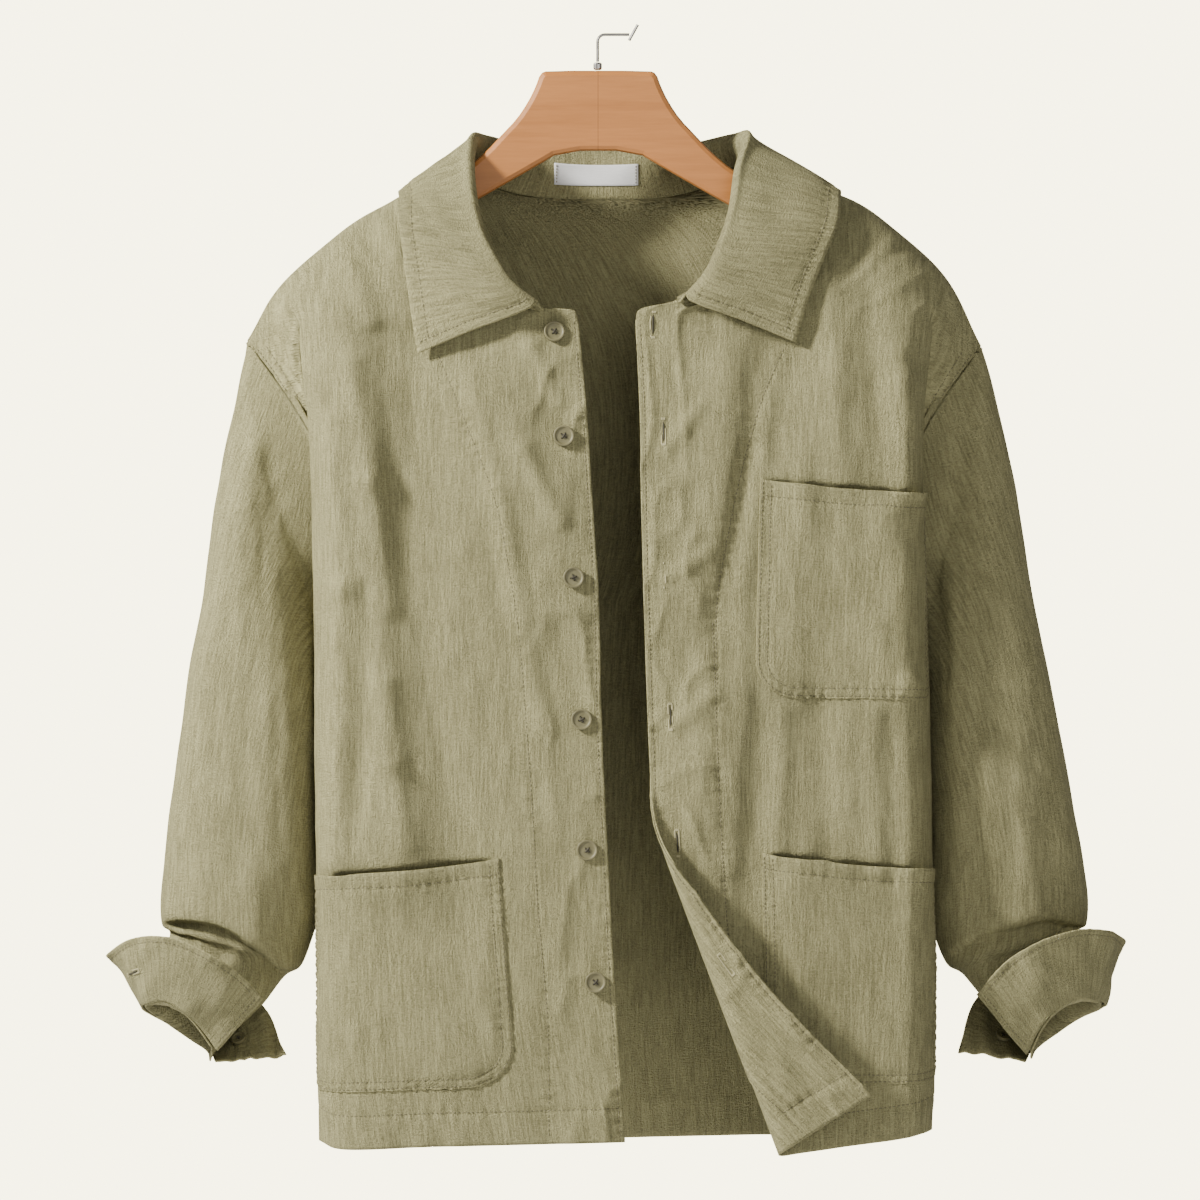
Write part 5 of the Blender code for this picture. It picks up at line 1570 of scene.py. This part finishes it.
def model_cross(radius):
    """Two rounded threads that cross between the four holes."""
    bars = []
    for angle, rise in ((45.0, 0.0), (-45.0, 0.22)):
        bpy.ops.mesh.primitive_cylinder_add(vertices=14, radius=0.085 * radius * MM,
                                            depth=2.9 * HOLE_APART * radius * MM)
        bar = bpy.context.object
        set_mode("EDIT")
        bpy.ops.mesh.select_all(action="SELECT")
        bpy.ops.transform.rotate(value=math.pi / 2, orient_axis="Y", center_override=(0.0, 0.0, 0.0))
        bpy.ops.transform.rotate(value=math.radians(angle), orient_axis="Z", center_override=(0.0, 0.0, 0.0))
        bpy.ops.transform.translate(value=(0.0, 0.0, (BUTTON_HEIGHT / 2 - BUTTON_SINK + 0.12 + rise) * MM))
        set_mode("OBJECT")
        press_faces(bar, lambda face: len(face.vertices) > 4, (0.02 * radius, -0.8))
        apply_modifier(bar, "BEVEL", width=0.25 * MM, segments=3, limit_method="ANGLE",
                       angle_limit=math.radians(40))
        bars.append(bar)
    select_only(bars[0])
    bars[1].select_set(True)
    bpy.ops.object.join()
    bpy.ops.object.shade_smooth()
    return bars[0]


def seat_of(name, facing):
    """Centre of a button in the part and the way that it faces."""
    places = np.array([vertex.co[:] for vertex in bpy.data.objects[name].data.vertices])
    places = places + np.array(bpy.data.objects[name].location)
    middle = (places.min(axis=0) + places.max(axis=0)) / 2
    axis = np.linalg.svd(places - middle)[2][2]
    if axis @ np.array(facing) < 0:
        axis = -axis
    return Vector(middle), Vector(axis)


def place_copy(model, name, middle, axis, turn, material):
    made = add_object(name, model.data.copy())
    turned = axis.to_track_quat("Z", "Y").to_matrix().to_4x4() @ Matrix.Rotation(turn, 4, "Z")
    made.data.transform(Matrix.Translation(middle) @ turned)
    made.data.materials.clear()
    made.data.materials.append(material)
    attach(made, BODY)
    return made


def build_buttons(resin, dark_thread):
    """Six front buttons and two small ones inside the cuffs."""
    dice = np.random.default_rng(200)
    sets = [(BUTTON_RADIUS, [(f"button_{number}", (0.0, -1.0, 0.0)) for number in range(1, 7)]),
            (CUFF_BUTTON_RADIUS, [("cuff_button_left", (0.2, -1.0, 0.0)),
                                  ("cuff_button_right", (-0.2, -1.0, 0.0))])]
    for radius, nodes in sets:
        disc = model_button(radius)
        cross = model_cross(radius)
        for node, facing in nodes:
            middle, axis = seat_of(node, facing)
            turn = dice.uniform(-0.5, 0.5)
            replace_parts(place_copy(disc, "resin_" + node, middle, axis, turn, resin), node)
            place_copy(cross, "thread_" + node, middle, axis, turn, dark_thread)
        bpy.data.objects.remove(disc)
        bpy.data.objects.remove(cross)


def dress_nodes(names, material):
    for name in names:
        mesh = bpy.data.objects[name].data
        mesh.materials.clear()
        mesh.materials.append(material)


# ---- the stage
def add_area_light(name, place, size, power, colour=(1.0, 1.0, 1.0)):
    light = bpy.data.lights.new(name, "AREA")
    light.shape = "RECTANGLE"
    light.size = size
    light.size_y = size
    light.energy = power
    light.color = colour
    obj = add_object(name, light)
    obj.location = place
    direction = Vector(LIGHTS_AIM) - Vector(place)
    obj.rotation_euler = direction.to_track_quat("-Z", "Y").to_euler()


def add_background(nodes, colour, strength):
    made = nodes.new("ShaderNodeBackground")
    made.inputs["Color"].default_value = colour
    made.inputs["Strength"].default_value = strength
    return made.outputs[0]


def build_stage():
    scene = bpy.context.scene
    camera = bpy.data.cameras.new("camera")
    camera.lens = CAMERA_LENS
    camera.sensor_width = 36.0
    eye = add_object("camera", camera)
    eye.location = CAMERA_AT
    eye.rotation_euler = (math.pi / 2, 0.0, 0.0)
    scene.camera = eye
    world = bpy.data.worlds.new("studio")
    world.use_nodes = True
    scene.world = world
    nodes = world.node_tree.nodes
    links = world.node_tree.links
    nodes.remove(nodes["Background"])
    seen = nodes.new("ShaderNodeLightPath")
    chosen = nodes.new("ShaderNodeMixShader")
    links.new(seen.outputs["Is Camera Ray"], chosen.inputs[0])
    links.new(add_background(nodes, AIR, AIR_STRENGTH), chosen.inputs[1])
    links.new(add_background(nodes, PAPER, PAPER_STRENGTH), chosen.inputs[2])
    links.new(chosen.outputs[0], nodes["World Output"].inputs["Surface"])
    bpy.ops.mesh.primitive_plane_add(size=5.0, location=(0.0, 0.0, -1.5))
    floor = bpy.context.object
    floor.name = "floor"
    floor.data.materials.append(floor_finish())
    add_area_light("key", (-2.2, -0.95, 1.0), 0.36, 212.0, WARM_WHITE)
    add_area_light("front fill", (1.4, -4.5, 0.4), 2.4, 62.0)


# ---- main run
select_none()
# The sewing thread is darker than the linen partly in its own colour and partly as painted shade of the grooves
# that its stitches press in.
looks = (linen_finish(), thread_finish("sewing thread and painted groove shade", (0.185, 0.165, 0.085)))
fronts = {side: build_front(side, looks) for side in (-1, 1)}
bases = {side: smooth_front(side) for side in (-1, 1)}
build_back(looks)
facing = build_facing(fronts[1], looks)
cuffs = {}
for side in (-1, 1):
    build_sleeve(side, looks)
    cuffs[side] = build_cuff(side, looks)
collar = build_collar(looks)
for name, size in POCKETS.items():
    build_pocket(name, size, fronts[size["side"]], bases[size["side"]], looks)
build_label(collar, label_finish(), looks[1])
sew_buttonholes(fronts[1], facing, cuffs)
wood = wood_finish()
steel = steel_finish()
build_buttons(button_finish(), thread_finish("button thread", (0.045, 0.038, 0.02)))
dress_nodes(["hanger"], wood)
dress_nodes(["hook", "hook_bead", "hook_stop"], steel)
build_stage()
